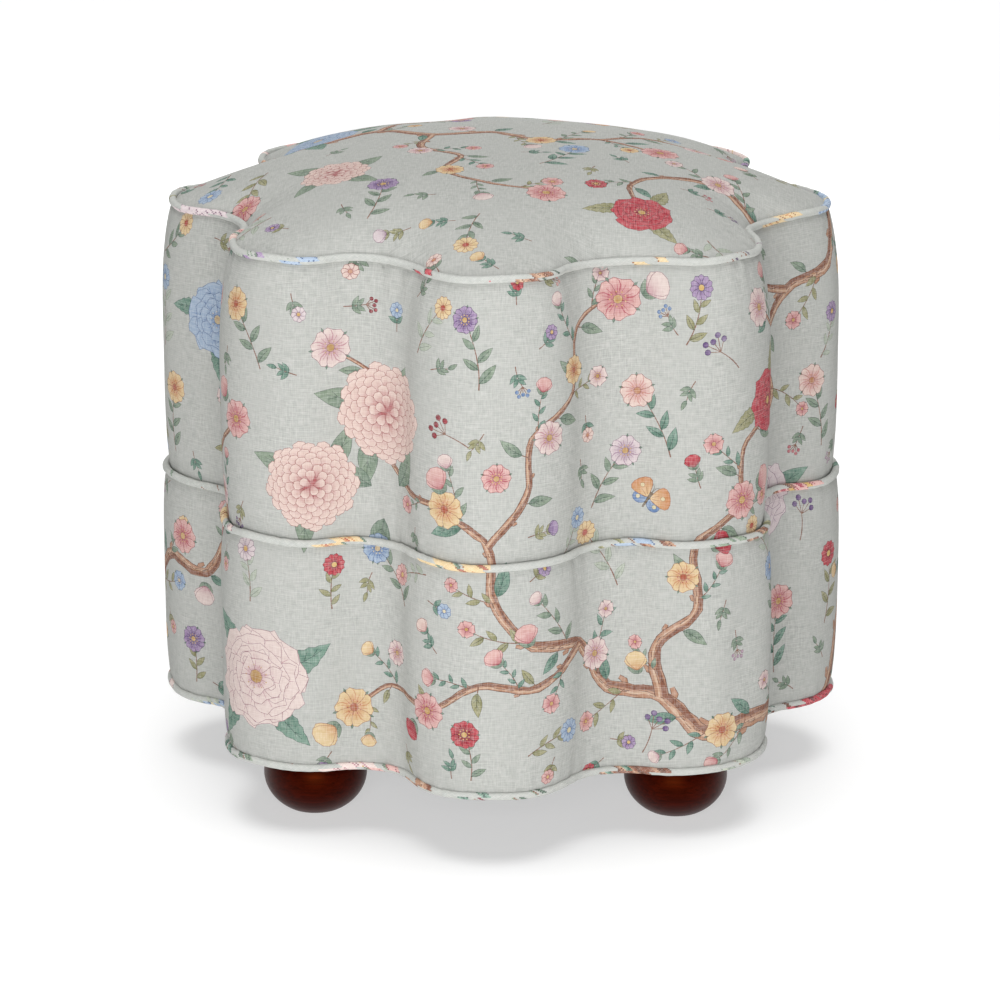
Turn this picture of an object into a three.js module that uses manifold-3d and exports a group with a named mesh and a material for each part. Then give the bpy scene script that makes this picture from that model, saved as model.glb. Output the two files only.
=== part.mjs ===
// A scalloped tuffet: an upholstered stool of eight equal lobes that stands on four bun feet.
// Millimetres, +Z up, origin on the floor under the middle, front towards -Y.
// A plywood and softwood frame carries a card wall, foam and wadding, and a piped linen cover over all.
import * as THREE from "three";
import { mergeVertices } from "three/addons/utils/BufferGeometryUtils.js";
import Module from "manifold-3d";

// Clearances
const GAP = 0.3; // left between neighbouring pieces
const CUT_OVERRUN = 3; // how far a cutter runs past the face that it opens

// Plan, on the line of the middle piping: round lobes joined by rounded cusps
const LOBES = 8;
const PLAN_RADIUS = 252.5; // from the middle to the tip of a lobe
const LOBE_RADIUS = 64.5;
const CUSP_RADIUS = 44;
const LOBE_STEPS = 6; // straight steps along each lobe's arc
const CUSP_STEPS = 3; // straight steps along each cusp's arc

// Heights of the three piped seams
const LOWER_HEIGHT = 171; // bottom seam to middle seam
const UPPER_HEIGHT = 204.5; // middle seam to top seam
const CROWN_HEIGHT = 42.5; // top seam to the crown of the seat
const CROWN_POWER = 3; // the crown falls with this power of the share of the way to the seam
const LOBE_FADE_POWER = 4; // the lobes fade from the crown with this power of that share
const CROWN_SHARES = [0.4, 0.7, 0.88, 1]; // rings of the crown, as shares of the way to the seam

// Cover
const FABRIC = 1.2;
const PIPING_RADIUS = 2.8;
const PIPING_SIDES = 6;
const TOP_PIPING_INSET = 10.3; // how far the top seam is drawn in from the middle one
const DUST_COVER = 1;

// Lower wall: the cover stands proud of its seams by a shallow, full bulge
const LOWER_BULGE = 3.2;
const LOWER_EDGE_INSET = 0.3;
const LOWER_FULLNESS = 4; // power of the bulge: the higher, the straighter the wall
const LOWER_SHARES = [0, 0.1, 0.5, 0.9, 1];

// Upper wall: tucked in behind the middle piping, full over most of its height, drawn in to the top seam
const UPPER_BULGE = 0.4;
const UPPER_TUCK_SHARE = 0.4; // the tuck fades out by this share of the wall's height
const UPPER_DRAW_SHARE = 0.5; // the draw towards the top seam starts at this share
const UPPER_ROUNDNESS = 3;
const UPPER_TOP_PROUD = 0.6; // the wall's top edge stands this far outside the top piping's line
const UPPER_SHARES = [0, 0.1, 0.4]; // rings below the seat board's level
const SHOULDER_SHARES = [0.55, 1]; // rings above it, as shares of what is left

// Padding and card wall, measured in from the middle piping's line
const LOWER_WADDING_DEPTH = 10;
const UPPER_FOAM_DEPTH = 22;
const CARD = 2.5;
const SEAT_WADDING = 5;

// Frame
const BOARD = 12;
const SEAT_EDGE = 56; // seat board's top to the top seam
const POSTS = 4;
const POST_SIDE = 45;
const CLEAT_DEPTH = 22;
const CLEAT_HEIGHT = 32;

// Feet and their fixings
const FEET = 4;
const FOOT_HEIGHT = 50.7;
const FOOT_RADIUS = 38.1;
const FOOT_HALF_HEIGHT = 31.7; // half the height of the ball that the foot is turned from
const FOOT_WAIST_HEIGHT = 27; // height of the widest line
const FOOT_STEPS = 8; // steps up the turned side
const FOOT_SIDES = 22;
const BOLT_RADIUS = 4;
const BOLT_IN_FOOT = 34;
const BOLT_ABOVE_BOARD = 5;
const BOLT_POINT = 5;
const BOLT_SIDES = 8;
const TEE_BARREL_WALL = 1.6;
const TEE_BARREL_LENGTH = 9;
const TEE_FLANGE_RADIUS = 11;
const TEE_FLANGE = 1.5;
const TEE_SIDES = 10;

// Countersunk wood screws
const SCREW_LENGTH = 45;
const SCREW_RADIUS = 2.2;
const SCREW_HEAD_RADIUS = 4.4;
const SCREW_HEAD_HEIGHT = 3.2;
const SCREW_POINT = 5;
const SCREW_SIDES = 6;

// Places that follow from the sizes above
const lobeCentre = PLAN_RADIUS - LOBE_RADIUS;
const dustBottom = FOOT_HEIGHT + GAP;
const baseBottom = dustBottom + DUST_COVER + GAP;
const baseTop = baseBottom + BOARD;
const bottomSeam = baseBottom;
const middleSeam = bottomSeam + LOWER_HEIGHT;
const topSeam = middleSeam + UPPER_HEIGHT;
const seatTop = topSeam - SEAT_EDGE;
const seatBottom = seatTop - BOARD;
const pipingClear = PIPING_RADIUS + GAP;
const coverDepth = FABRIC + GAP; // from the cover's outside to what lies under it
const lowerCardInset = LOWER_WADDING_DEPTH + GAP;
const boardInset = lowerCardInset + CARD + GAP;
const upperCardInset = UPPER_FOAM_DEPTH + GAP;
const seatBoardInset = upperCardInset + CARD + GAP;
const crownInset = TOP_PIPING_INSET + pipingClear; // edge of the top panel, inside the top piping
const crownTop = topSeam + CROWN_HEIGHT;
const tipStep = (2 * Math.PI) / LOBES;

const wasm = await Module();
wasm.setup();

// Materials, as the finished object shows them or as such a frame has them
function finish(colour, roughness, metalness = 0) {
  return new THREE.MeshStandardMaterial({ color: colour, roughness, metalness });
}
const linen = finish(0xc9d2cb, 0.9);
const foamStuff = finish(0xe9e2c4, 0.95);
const waddingStuff = finish(0xf2f2ee, 1);
const cardStuff = finish(0xb79a70, 0.9);
const plywood = finish(0xcfae7c, 0.7);
const softwood = finish(0xddc294, 0.75);
const cambric = finish(0x24221f, 0.95);
const mahogany = finish(0x3a1208, 0.3);
const zincSteel = finish(0xb4b7ba, 0.35, 1);

const tuffet = new THREE.Group();
function add(name, geometry, material, parent = tuffet) {
  const mesh = new THREE.Mesh(geometry, material);
  mesh.name = name;
  parent.add(mesh);
}

// The eight-lobed outline drawn in by an inset: the arcs keep their centres and only their radii change
function outline(inset) {
  const half = tipStep / 2;
  const reach = LOBE_RADIUS + CUSP_RADIUS;
  const cuspCentre = lobeCentre * Math.cos(half) + Math.sqrt(reach ** 2 - (lobeCentre * Math.sin(half)) ** 2);
  const swing = Math.atan2(cuspCentre * Math.sin(half), cuspCentre * Math.cos(half) - lobeCentre);
  const lobeRadius = LOBE_RADIUS - inset;
  const cuspRadius = CUSP_RADIUS + inset;
  const points = [];
  for (let i = 0; i < LOBES; i++) {
    const tip = i * tipStep;
    for (let k = 0; k < LOBE_STEPS; k++) {
      const turn = tip - swing + (2 * swing * k) / LOBE_STEPS;
      points.push([
        lobeCentre * Math.cos(tip) + lobeRadius * Math.cos(turn),
        lobeCentre * Math.sin(tip) + lobeRadius * Math.sin(turn),
      ]);
    }
    const cusp = tip + half;
    const cuspSwing = swing - half;
    for (let k = 0; k < CUSP_STEPS; k++) {
      const turn = cusp + Math.PI + cuspSwing - (2 * cuspSwing * k) / CUSP_STEPS;
      points.push([
        cuspCentre * Math.cos(cusp) + cuspRadius * Math.cos(turn),
        cuspCentre * Math.sin(cusp) + cuspRadius * Math.sin(turn),
      ]);
    }
  }
  return points;
}

// A ring of the outline at a height
function ring(inset, z) {
  return outline(inset).map(([x, y]) => new THREE.Vector3(x, y, z));
}

// Two triangles between neighbouring points of two rings, split along the shorter diagonal
function quad(points, a, b, c, d) {
  const rising = points[a].distanceTo(points[c]) < points[b].distanceTo(points[d]);
  return rising ? [a, b, c, a, c, d] : [a, b, d, b, c, d];
}

// A solid lofted through rings that go up its outside: a closed band, or with two middle heights a solid
// whose first ring closes on the lower middle point and whose last closes on the upper one
function loft(rings, middles) {
  const count = rings[0].length;
  const points = rings.flat();
  const faces = [];
  const bands = middles ? rings.length - 1 : rings.length;
  for (let j = 0; j < bands; j++) {
    const a = j * count;
    const b = ((j + 1) % rings.length) * count;
    for (let i = 0; i < count; i++) {
      const n = (i + 1) % count;
      faces.push(...quad(points, a + i, a + n, b + n, b + i));
    }
  }
  if (middles) {
    const lower = points.push(new THREE.Vector3(0, 0, middles[0])) - 1;
    const upper = points.push(new THREE.Vector3(0, 0, middles[1])) - 1;
    const end = (rings.length - 1) * count;
    for (let i = 0; i < count; i++) {
      const n = (i + 1) % count;
      faces.push(lower, n, i, upper, end + i, end + n);
    }
  }
  const geometry = new THREE.BufferGeometry().setFromPoints(points);
  geometry.setIndex(faces);
  geometry.computeVertexNormals();
  return geometry;
}

// A lathe turned about Z, from a profile of [radius, height] points that starts and ends on the axis or closes
function turned(profile, sides) {
  const lathe = new THREE.LatheGeometry(
    profile.map(([r, z]) => new THREE.Vector2(r, z)),
    sides,
  );
  return lathe.rotateX(Math.PI / 2);
}

// A flat board of the outline, with round holes at [x, y, radius]
function board(inset, thickness, bottom, holes = []) {
  const shape = new THREE.Shape(outline(inset).map(([x, y]) => new THREE.Vector2(x, y)));
  for (const [x, y, radius] of holes) {
    const hole = new THREE.Path();
    hole.absarc(x, y, radius, 0, 2 * Math.PI, true);
    shape.holes.push(hole);
  }
  const geometry = new THREE.ExtrudeGeometry(shape, {
    depth: thickness,
    bevelEnabled: false,
    curveSegments: TEE_SIDES,
  });
  return geometry.translate(0, 0, bottom);
}

function solidOf(geometry) {
  const bare = geometry.clone();
  bare.deleteAttribute("normal");
  bare.deleteAttribute("uv");
  const merged = mergeVertices(bare);
  return new wasm.Manifold(
    new wasm.Mesh({
      numProp: 3,
      vertProperties: merged.attributes.position.array,
      triVerts: new Uint32Array(merged.index.array),
    }),
  );
}

// A geometry with others cut out of it
function cut(geometry, cutters) {
  const result = cutters.reduce((solid, cutter) => solid.subtract(solidOf(cutter)), solidOf(geometry));
  const mesh = result.getMesh();
  const made = new THREE.BufferGeometry();
  made.setAttribute("position", new THREE.BufferAttribute(mesh.vertProperties, mesh.numProp));
  made.setIndex(new THREE.BufferAttribute(mesh.triVerts, 1));
  made.computeVertexNormals();
  return made;
}

// How far the lower cover's outside lies in from the piping line, at a share of the wall's height
function lowerInset(share) {
  const fullness = 1 - Math.abs(2 * share - 1) ** LOWER_FULLNESS;
  return LOWER_EDGE_INSET - (LOWER_BULGE + LOWER_EDGE_INSET) * fullness;
}

// The same for the upper cover
function upperInset(share) {
  const tuck = Math.max(0, 1 - share / UPPER_TUCK_SHARE) ** UPPER_ROUNDNESS;
  const draw = Math.max(0, (share - UPPER_DRAW_SHARE) / (1 - UPPER_DRAW_SHARE)) ** UPPER_ROUNDNESS;
  const drawn = TOP_PIPING_INSET - UPPER_TOP_PROUD + UPPER_BULGE;
  return -UPPER_BULGE + (pipingClear + UPPER_BULGE) * tuck + drawn * draw;
}

const lowerFloor = bottomSeam + pipingClear;
const lowerCeiling = middleSeam - pipingClear;
const lowerWall = LOWER_SHARES.map((share) => ({
  inset: lowerInset(share),
  z: THREE.MathUtils.lerp(lowerFloor, lowerCeiling, share),
}));

const upperFloor = middleSeam + GAP;
const upperCeiling = topSeam - pipingClear;
const seatShare = (seatTop - upperFloor) / (upperCeiling - upperFloor);
const shoulderShares = SHOULDER_SHARES.map((share) => THREE.MathUtils.lerp(seatShare, 1, share));
function upperStation(share) {
  return { inset: upperInset(share), z: THREE.MathUtils.lerp(upperFloor, upperCeiling, share) };
}
const wallBelowSeat = [...UPPER_SHARES, seatShare].map(upperStation);
const shoulder = shoulderShares.map(upperStation);
const upperWall = [...wallBelowSeat, ...shoulder];

// A band whose outside follows a wall and whose inside lies at its own insets, both from the bottom up
function stationRings(stations) {
  return stations.map(({ inset, z }) => ring(inset, z));
}
function wallBand(outside, inside) {
  return loft([...stationRings(outside), ...stationRings(inside).reverse()]);
}
function moved(stations, depth) {
  return stations.map(({ inset, z }) => ({ inset: inset + depth, z }));
}
function straight(stations, inset) {
  return [stations[0], stations[stations.length - 1]].map(({ z }) => ({ inset, z }));
}

// Rings of a crowned layer that lies a depth below the cover's outside, from the middle out or the edge in.
// The crown is round in the middle, and its lobes grow towards the seam.
function crownOutwards(depth, edgeInset) {
  const edge = ring(edgeInset, topSeam - depth);
  const meanRadius = edge.reduce((sum, { x, y }) => sum + Math.hypot(x, y), 0) / edge.length;
  return CROWN_SHARES.map((share) =>
    edge.map(({ x, y, z }) => {
      const edgeRadius = Math.hypot(x, y);
      const reach = THREE.MathUtils.lerp(meanRadius, edgeRadius, share ** LOBE_FADE_POWER);
      const rise = CROWN_HEIGHT * (1 - ((share * edgeRadius) / reach) ** CROWN_POWER);
      return new THREE.Vector3(x * share, y * share, z + rise);
    }),
  );
}
function crownInwards(depth, edgeInset) {
  return crownOutwards(depth, edgeInset).reverse();
}

function coverPieces() {
  add("lower_border_cover", wallBand(lowerWall, moved(lowerWall, FABRIC)), linen);
  add("upper_border_cover", wallBand(upperWall, moved(upperWall, FABRIC)), linen);
  const panel = [...crownOutwards(FABRIC, crownInset), ...crownInwards(0, crownInset)];
  add("top_cover", loft(panel, [crownTop - FABRIC, crownTop]), linen);
  const footHoles = footPlaces().map(([x, y]) => [x, y, BOLT_RADIUS + GAP]);
  add("dust_cover", board(pipingClear, DUST_COVER, dustBottom, footHoles), cambric);
}

// A cord of piping along the outline: rings of the outline set round a small circle
function piping(inset, z) {
  const rings = [];
  for (let k = 0; k < PIPING_SIDES; k++) {
    const turn = (2 * Math.PI * k) / PIPING_SIDES;
    rings.push(ring(inset - PIPING_RADIUS * Math.cos(turn), z + PIPING_RADIUS * Math.sin(turn)));
  }
  return loft(rings);
}
function pipingPieces() {
  add("bottom_piping", piping(0, bottomSeam), linen);
  add("middle_piping", piping(0, middleSeam), linen);
  add("top_piping", piping(TOP_PIPING_INSET, topSeam), linen);
}

function paddingPieces() {
  const lowerPad = moved(lowerWall, coverDepth);
  add("lower_wall_wadding", wallBand(lowerPad, straight(lowerPad, LOWER_WADDING_DEPTH)), waddingStuff);
  const upperPad = moved(wallBelowSeat, coverDepth);
  add("upper_wall_foam", wallBand(upperPad, straight(upperPad, UPPER_FOAM_DEPTH)), foamStuff);
  seatPadding();
}

// The seat's foam block and the wadding wrapped over it, from the seat board up into the crown
function seatPadding() {
  const side = [{ inset: upperInset(seatShare), z: seatTop + GAP }, ...shoulder];
  const foamDepth = coverDepth + SEAT_WADDING;
  const outside = moved(side, coverDepth);
  const inside = loweredShoulder(moved(side, foamDepth), SEAT_WADDING);
  const edge = crownInset + GAP;
  const foamEdge = edge + SEAT_WADDING;
  const wadding = [
    ...crownOutwards(foamDepth, foamEdge),
    ...stationRings(inside).reverse(),
    ...stationRings(outside),
    ...crownInwards(coverDepth, edge),
  ];
  add("seat_wadding", loft(wadding, [crownTop - foamDepth, crownTop - coverDepth]), waddingStuff);
  const foamSide = loweredShoulder(moved(inside, GAP), GAP);
  const foam = [...stationRings(foamSide), ...crownInwards(foamDepth + GAP, foamEdge + GAP)];
  add("seat_foam", loft(foam, [seatTop + GAP, crownTop - foamDepth - GAP]), foamStuff);
}
// Stations of which all but the lowest come down by a drop
function loweredShoulder([lowest, ...others], drop) {
  return [lowest, ...others.map(({ inset, z }) => ({ inset, z: z - drop }))];
}

function cardPieces() {
  const lower = [{ z: baseBottom }, { z: middleSeam }];
  add("lower_wall_card", wallBand(straight(lower, lowerCardInset), straight(lower, lowerCardInset + CARD)), cardStuff);
  const upper = [{ z: middleSeam + GAP }, { z: seatTop }];
  add("upper_wall_card", wallBand(straight(upper, upperCardInset), straight(upper, upperCardInset + CARD)), cardStuff);
}

// Places round the middle, as [x, y] points on a circle through the lobes' centres
function footPlaces() {
  return Array.from({ length: FEET }, (_, i) => {
    const turn = (i + 0.5) * (2 * Math.PI / FEET);
    return [lobeCentre * Math.cos(turn), lobeCentre * Math.sin(turn)];
  });
}
function postPlaces() {
  return Array.from({ length: POSTS }, (_, i) => {
    const turn = (i * 2 * Math.PI) / POSTS;
    return [lobeCentre * Math.cos(turn), lobeCentre * Math.sin(turn), turn];
  });
}

// A countersunk screw whose head's face is at height 0 and whose point is below it
function screwSide(grow) {
  return [
    [0, -SCREW_LENGTH - grow],
    [SCREW_RADIUS + grow, -SCREW_LENGTH + SCREW_POINT],
    [SCREW_RADIUS + grow, -SCREW_HEAD_HEIGHT - grow],
    [SCREW_HEAD_RADIUS + grow, -grow],
  ];
}
function screw() {
  const side = screwSide(0);
  return turned([...side, [0, 0]], SCREW_SIDES);
}
function screwHole() {
  const mouth = SCREW_HEAD_RADIUS + GAP;
  return turned([...screwSide(GAP), [mouth, CUT_OVERRUN], [0, CUT_OVERRUN]], SCREW_SIDES);
}
const baseScrew = (geometry) => geometry.rotateX(Math.PI).translate(0, 0, baseBottom);
const seatScrew = (geometry) => geometry.translate(0, 0, seatTop);
const cleatFace = -POST_SIDE / 2 - GAP - CLEAT_DEPTH;
const cleatMiddle = middleSeam - BOARD - GAP - CLEAT_HEIGHT / 2;
const cleatScrew = (geometry) => geometry.rotateY(-Math.PI / 2).translate(cleatFace, 0, cleatMiddle);

function framePieces() {
  const posts = postPlaces();
  const atPosts = (make) => posts.map(([x, y, turn]) => make().rotateZ(turn).translate(x, y, 0));
  const postHole = () => {
    const side = POST_SIDE + 2 * GAP;
    return new THREE.BoxGeometry(side, side, BOARD + 2 * CUT_OVERRUN).translate(0, 0, middleSeam - BOARD / 2);
  };
  const barrelHoles = footPlaces().map(([x, y]) => [x, y, BOLT_RADIUS + TEE_BARREL_WALL + 2 * GAP]);
  const base = board(boardInset, BOARD, baseBottom, barrelHoles);
  add("base_board", cut(base, atPosts(() => baseScrew(screwHole()))), plywood);
  const middle = board(boardInset, BOARD, middleSeam - BOARD);
  add("middle_board", cut(middle, atPosts(postHole)), plywood);
  const seat = board(seatBoardInset, BOARD, seatBottom);
  add("seat_board", cut(seat, atPosts(() => seatScrew(screwHole()))), plywood);
  posts.forEach(([x, y, turn], i) => postAssembly(x, y, turn, i + 1));
}

// One post with its cleat and screws, the cleat on the side that faces the middle
function postAssembly(x, y, turn, number) {
  const place = new THREE.Group();
  place.position.set(x, y, 0);
  place.rotation.z = turn;
  tuffet.add(place);
  const floor = baseTop + GAP;
  const length = seatBottom - GAP - floor;
  const post = new THREE.BoxGeometry(POST_SIDE, POST_SIDE, length).translate(0, 0, floor + length / 2);
  const postCuts = [baseScrew(screwHole()), seatScrew(screwHole()), cleatScrew(screwHole())];
  add("post_" + number, cut(post, postCuts), softwood, place);
  const cleat = new THREE.BoxGeometry(CLEAT_DEPTH, POST_SIDE, CLEAT_HEIGHT);
  cleat.translate(cleatFace + CLEAT_DEPTH / 2, 0, cleatMiddle);
  add("cleat_" + number, cut(cleat, [cleatScrew(screwHole())]), softwood, place);
  add("base_screw_" + number, baseScrew(screw()), zincSteel, place);
  add("seat_screw_" + number, seatScrew(screw()), zincSteel, place);
  add("cleat_screw_" + number, cleatScrew(screw()), zincSteel, place);
}

// Radius of the turned foot at a height
function footRadius(z) {
  return FOOT_RADIUS * Math.sqrt(1 - ((z - FOOT_WAIST_HEIGHT) / FOOT_HALF_HEIGHT) ** 2);
}
function footGeometry() {
  const profile = [[0, 0]];
  for (let k = 0; k <= FOOT_STEPS; k++) {
    const z = (FOOT_HEIGHT * k) / FOOT_STEPS;
    profile.push([footRadius(z), z]);
  }
  const bore = BOLT_RADIUS + GAP;
  const boreBottom = FOOT_HEIGHT - BOLT_IN_FOOT - GAP;
  profile.push([bore, FOOT_HEIGHT], [bore, boreBottom], [0, boreBottom]);
  return turned(profile, FOOT_SIDES);
}
function boltGeometry() {
  const bottom = FOOT_HEIGHT - BOLT_IN_FOOT;
  const top = baseTop + BOLT_ABOVE_BOARD;
  const profile = [
    [0, bottom],
    [BOLT_RADIUS, bottom + BOLT_POINT],
    [BOLT_RADIUS, top],
    [0, top],
  ];
  return turned(profile, BOLT_SIDES);
}
function teeNutGeometry() {
  const bore = BOLT_RADIUS + GAP;
  const barrel = bore + TEE_BARREL_WALL;
  const seat = baseTop + GAP;
  const profile = [
    [bore, seat - TEE_BARREL_LENGTH],
    [barrel, seat - TEE_BARREL_LENGTH],
    [barrel, seat],
    [TEE_FLANGE_RADIUS, seat],
    [TEE_FLANGE_RADIUS, seat + TEE_FLANGE],
    [bore, seat + TEE_FLANGE],
    [bore, seat - TEE_BARREL_LENGTH],
  ];
  return turned(profile, TEE_SIDES);
}
function footPieces() {
  footPlaces().forEach(([x, y], i) => {
    const place = new THREE.Group();
    place.position.set(x, y, 0);
    tuffet.add(place);
    add("bun_foot_" + (i + 1), footGeometry(), mahogany, place);
    add("hanger_bolt_" + (i + 1), boltGeometry(), zincSteel, place);
    add("tee_nut_" + (i + 1), teeNutGeometry(), zincSteel, place);
  });
}

coverPieces();
pipingPieces();
paddingPieces();
cardPieces();
framePieces();
footPieces();

export default tuffet;
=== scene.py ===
"""A scalloped tuffet in printed linen, piped at its three seams, on four turned bun feet.

Lengths are in millimetres until a mesh is made. A flat place is a complex number: x + yi in plan, and u + vi on a
wall's cloth, where u runs along the seam to the viewer's right from the front lobe's tip and v runs up the cloth.
"""
import math
import random
from collections import namedtuple

import bmesh
import bpy
import numpy as np
from mathutils import Matrix, Vector, geometry


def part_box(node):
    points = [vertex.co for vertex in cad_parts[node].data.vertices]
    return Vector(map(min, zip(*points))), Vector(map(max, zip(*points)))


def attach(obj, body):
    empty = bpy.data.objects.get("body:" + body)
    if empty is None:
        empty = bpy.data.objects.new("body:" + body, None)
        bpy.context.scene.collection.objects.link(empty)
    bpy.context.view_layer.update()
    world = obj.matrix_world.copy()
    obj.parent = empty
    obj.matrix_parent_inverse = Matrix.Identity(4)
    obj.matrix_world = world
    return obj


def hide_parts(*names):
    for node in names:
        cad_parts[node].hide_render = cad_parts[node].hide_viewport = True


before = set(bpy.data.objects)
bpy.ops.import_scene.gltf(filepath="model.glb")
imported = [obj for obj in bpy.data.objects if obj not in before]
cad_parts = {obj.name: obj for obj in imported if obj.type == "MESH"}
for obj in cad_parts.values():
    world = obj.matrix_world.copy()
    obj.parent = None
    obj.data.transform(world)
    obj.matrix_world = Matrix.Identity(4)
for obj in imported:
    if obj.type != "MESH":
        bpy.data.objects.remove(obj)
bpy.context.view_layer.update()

MM = 0.001
TURN = 2 * math.pi


def node_box(name):
    """A node's lowest and highest corners in millimetres"""
    return [np.array(corner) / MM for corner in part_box(name)]


def middle(name):
    low, high = node_box(name)
    return (low + high) / 2


# Plan of the seams: eight round lobes joined by rounded cusps, one lobe towards -Y
LOBES = 8
STEP = TURN / LOBES
FRONT = -TURN / 4
PIPING = 2.8
CUSP_R = 44.0
PLAN_R = node_box("middle_piping")[1][0] - PIPING
LOBE_CENTRE = math.hypot(*middle("bun_foot_1")[:2])
LOBE_R = PLAN_R - LOBE_CENTRE
REACH = LOBE_R + CUSP_R
CUSP_CENTRE = LOBE_CENTRE * math.cos(STEP / 2) + math.sqrt(REACH**2 - (LOBE_CENTRE * math.sin(STEP / 2)) ** 2)
SWING = math.atan2(CUSP_CENTRE * math.sin(STEP / 2), CUSP_CENTRE * math.cos(STEP / 2) - LOBE_CENTRE)
LOBE_ARC = 2 * SWING * LOBE_R
CUSP_ARC = (2 * SWING - STEP) * CUSP_R
PITCH = LOBE_ARC + CUSP_ARC
GIRTH = LOBES * PITCH
REPEAT = GIRTH / 2

# Seams and crown
BOTTOM_SEAM = middle("bottom_piping")[2]
MIDDLE_SEAM = middle("middle_piping")[2]
TOP_SEAM = middle("top_piping")[2]
TOP_INSET = PLAN_R + PIPING - node_box("top_piping")[1][0]
LOWER_WALL = MIDDLE_SEAM - BOTTOM_SEAM
UPPER_WALL = TOP_SEAM - MIDDLE_SEAM
CROWN = node_box("top_cover")[1][2] - TOP_SEAM
CROWN_POWER = 3
LOBE_FADE = 4
FABRIC = 1.2
CLEAR = 0.3
SEAMS = {"bottom": (BOTTOM_SEAM, 0.0, 0.5), "middle": (MIDDLE_SEAM, 0.0, 0.8), "top": (TOP_SEAM, TOP_INSET, 0.7)}
SIDE_SWAY = 0.5  # how far a seam wanders in and out; its third value above is how far it wanders up and down

# Walls
LOWER_BULGE = 3.2
LOWER_FULLNESS = 4
UPPER_BULGE = 0.4
UPPER_TUCK = 3.1
TUCK_SHARE = 0.4
DRAW_SHARE = 0.5
ROUNDNESS = 3
SEAM_PULL = 2.3  # the cloth turns in this far behind the piping
SEAM_PULL_REACH = 2.6
WALL_SWELL = 0.5
GATHER_REACH = 20
CUSP_GATHER = 1.3
CUSP_GATHER_WIDTH = 5
FINE_GATHER = 0.3
GATHER_FADE = 4

# The top panel's unevenness: a valley and small folds run in from each cusp, with puckers all round the seam
VALLEY = 2.8
VALLEY_WIDTH = 5
VALLEY_REACH = 18
FOLD = 0.7
FOLD_PITCH = 15
FOLD_SPREAD = 22
PUCKER = 0.35
PUCKER_REACH = 9
PUCKER_FADE = 3
TOP_PULL = 1.9
TOP_SWELL = 0.9
SWAY_POWER = 6  # how steeply the seam's own ups and downs die out towards the middle


# The cover's shape, for arrays of places on it
def raised(at, z):
    """Places in space, at heights over places in plan"""
    return np.stack([at.real, at.imag, np.zeros_like(at.real) + z], axis=-1)


def lobe_of(u):
    """Which lobe a place on a seam belongs to, and how far it is from the lobe's tip"""
    lobe = np.floor(u / PITCH + 0.5)
    return lobe, u - lobe * PITCH


def plan(u, inset):
    """Places on the lobed outline drawn in by an inset: the arcs keep their centres"""
    lobe, along = lobe_of(u)
    side = np.where(along < 0, -1.0, 1.0)
    past = np.abs(along) - LOBE_ARC / 2
    tip = FRONT + lobe * STEP
    cusp = tip + side * STEP / 2
    turn = np.where(past <= 0, tip + along / LOBE_R, tip + side * SWING + math.pi - side * past / CUSP_R)
    centre = np.where(past <= 0, LOBE_CENTRE, CUSP_CENTRE)
    radius = np.where(past <= 0, LOBE_R - inset, CUSP_R + inset)
    about = np.where(past <= 0, tip, cusp)
    across = centre * np.cos(about) + radius * np.cos(turn)
    return across + 1j * (centre * np.sin(about) + radius * np.sin(turn))


def wave(u, seed, first=5, last=26):
    """A gentle irregular wave round the tuffet, about one high, that closes on itself"""
    rng = random.Random(seed)
    total = np.zeros_like(u)
    for k in range(first, last):
        total += math.sqrt(2 / (last - first)) * np.sin(TURN * (k * u / GIRTH + rng.random()))
    return total


def seam_height(u, seam):
    height, _, sway = SEAMS[seam]
    return height + sway * wave(u, seam)


def seam_inset(u, seam):
    return SEAMS[seam][1] + SIDE_SWAY * wave(u, seam + " sideways")


def near_cusp(u):
    """1 in the middle of a cusp, falling off to the sides"""
    _, along = lobe_of(u)
    return np.exp(-(((PITCH / 2 - np.abs(along)) / CUSP_GATHER_WIDTH) ** 2))


def wrinkles(u, v, height, seed):
    """Shallow vertical swells of a stretched cover, and small gathers by its seams at the cusps"""
    swell = WALL_SWELL * wave(u, seed, 8, 40) * np.sin(math.pi * v / height)
    edge = np.exp(-v / GATHER_REACH) + np.exp(-(height - v) / GATHER_REACH)
    fine = FINE_GATHER * wave(u, seed + " gathers", 60, 140)
    gather = edge * (CUSP_GATHER * near_cusp(u) + fine)
    fade = np.clip(v / GATHER_FADE, 0, 1) * np.clip((height - v) / GATHER_FADE, 0, 1)
    return (swell + gather) * fade


def lower_wall(at, depth):
    """Places in space on the lower wall, by their places on its cloth and their depth inside its face"""
    u, v = at.real, at.imag
    share = v / LOWER_WALL
    full = 1 - np.abs(2 * share - 1) ** LOWER_FULLNESS
    pull = SEAM_PULL * (np.exp(-v / SEAM_PULL_REACH) + np.exp(-(LOWER_WALL - v) / SEAM_PULL_REACH))
    inset = pull - LOWER_BULGE * full + wrinkles(u, v, LOWER_WALL, "lower") + depth
    inset = inset + (1 - share) * seam_inset(u, "bottom") + share * seam_inset(u, "middle")
    return raised(plan(u, inset), (1 - share) * seam_height(u, "bottom") + share * seam_height(u, "middle"))


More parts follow.
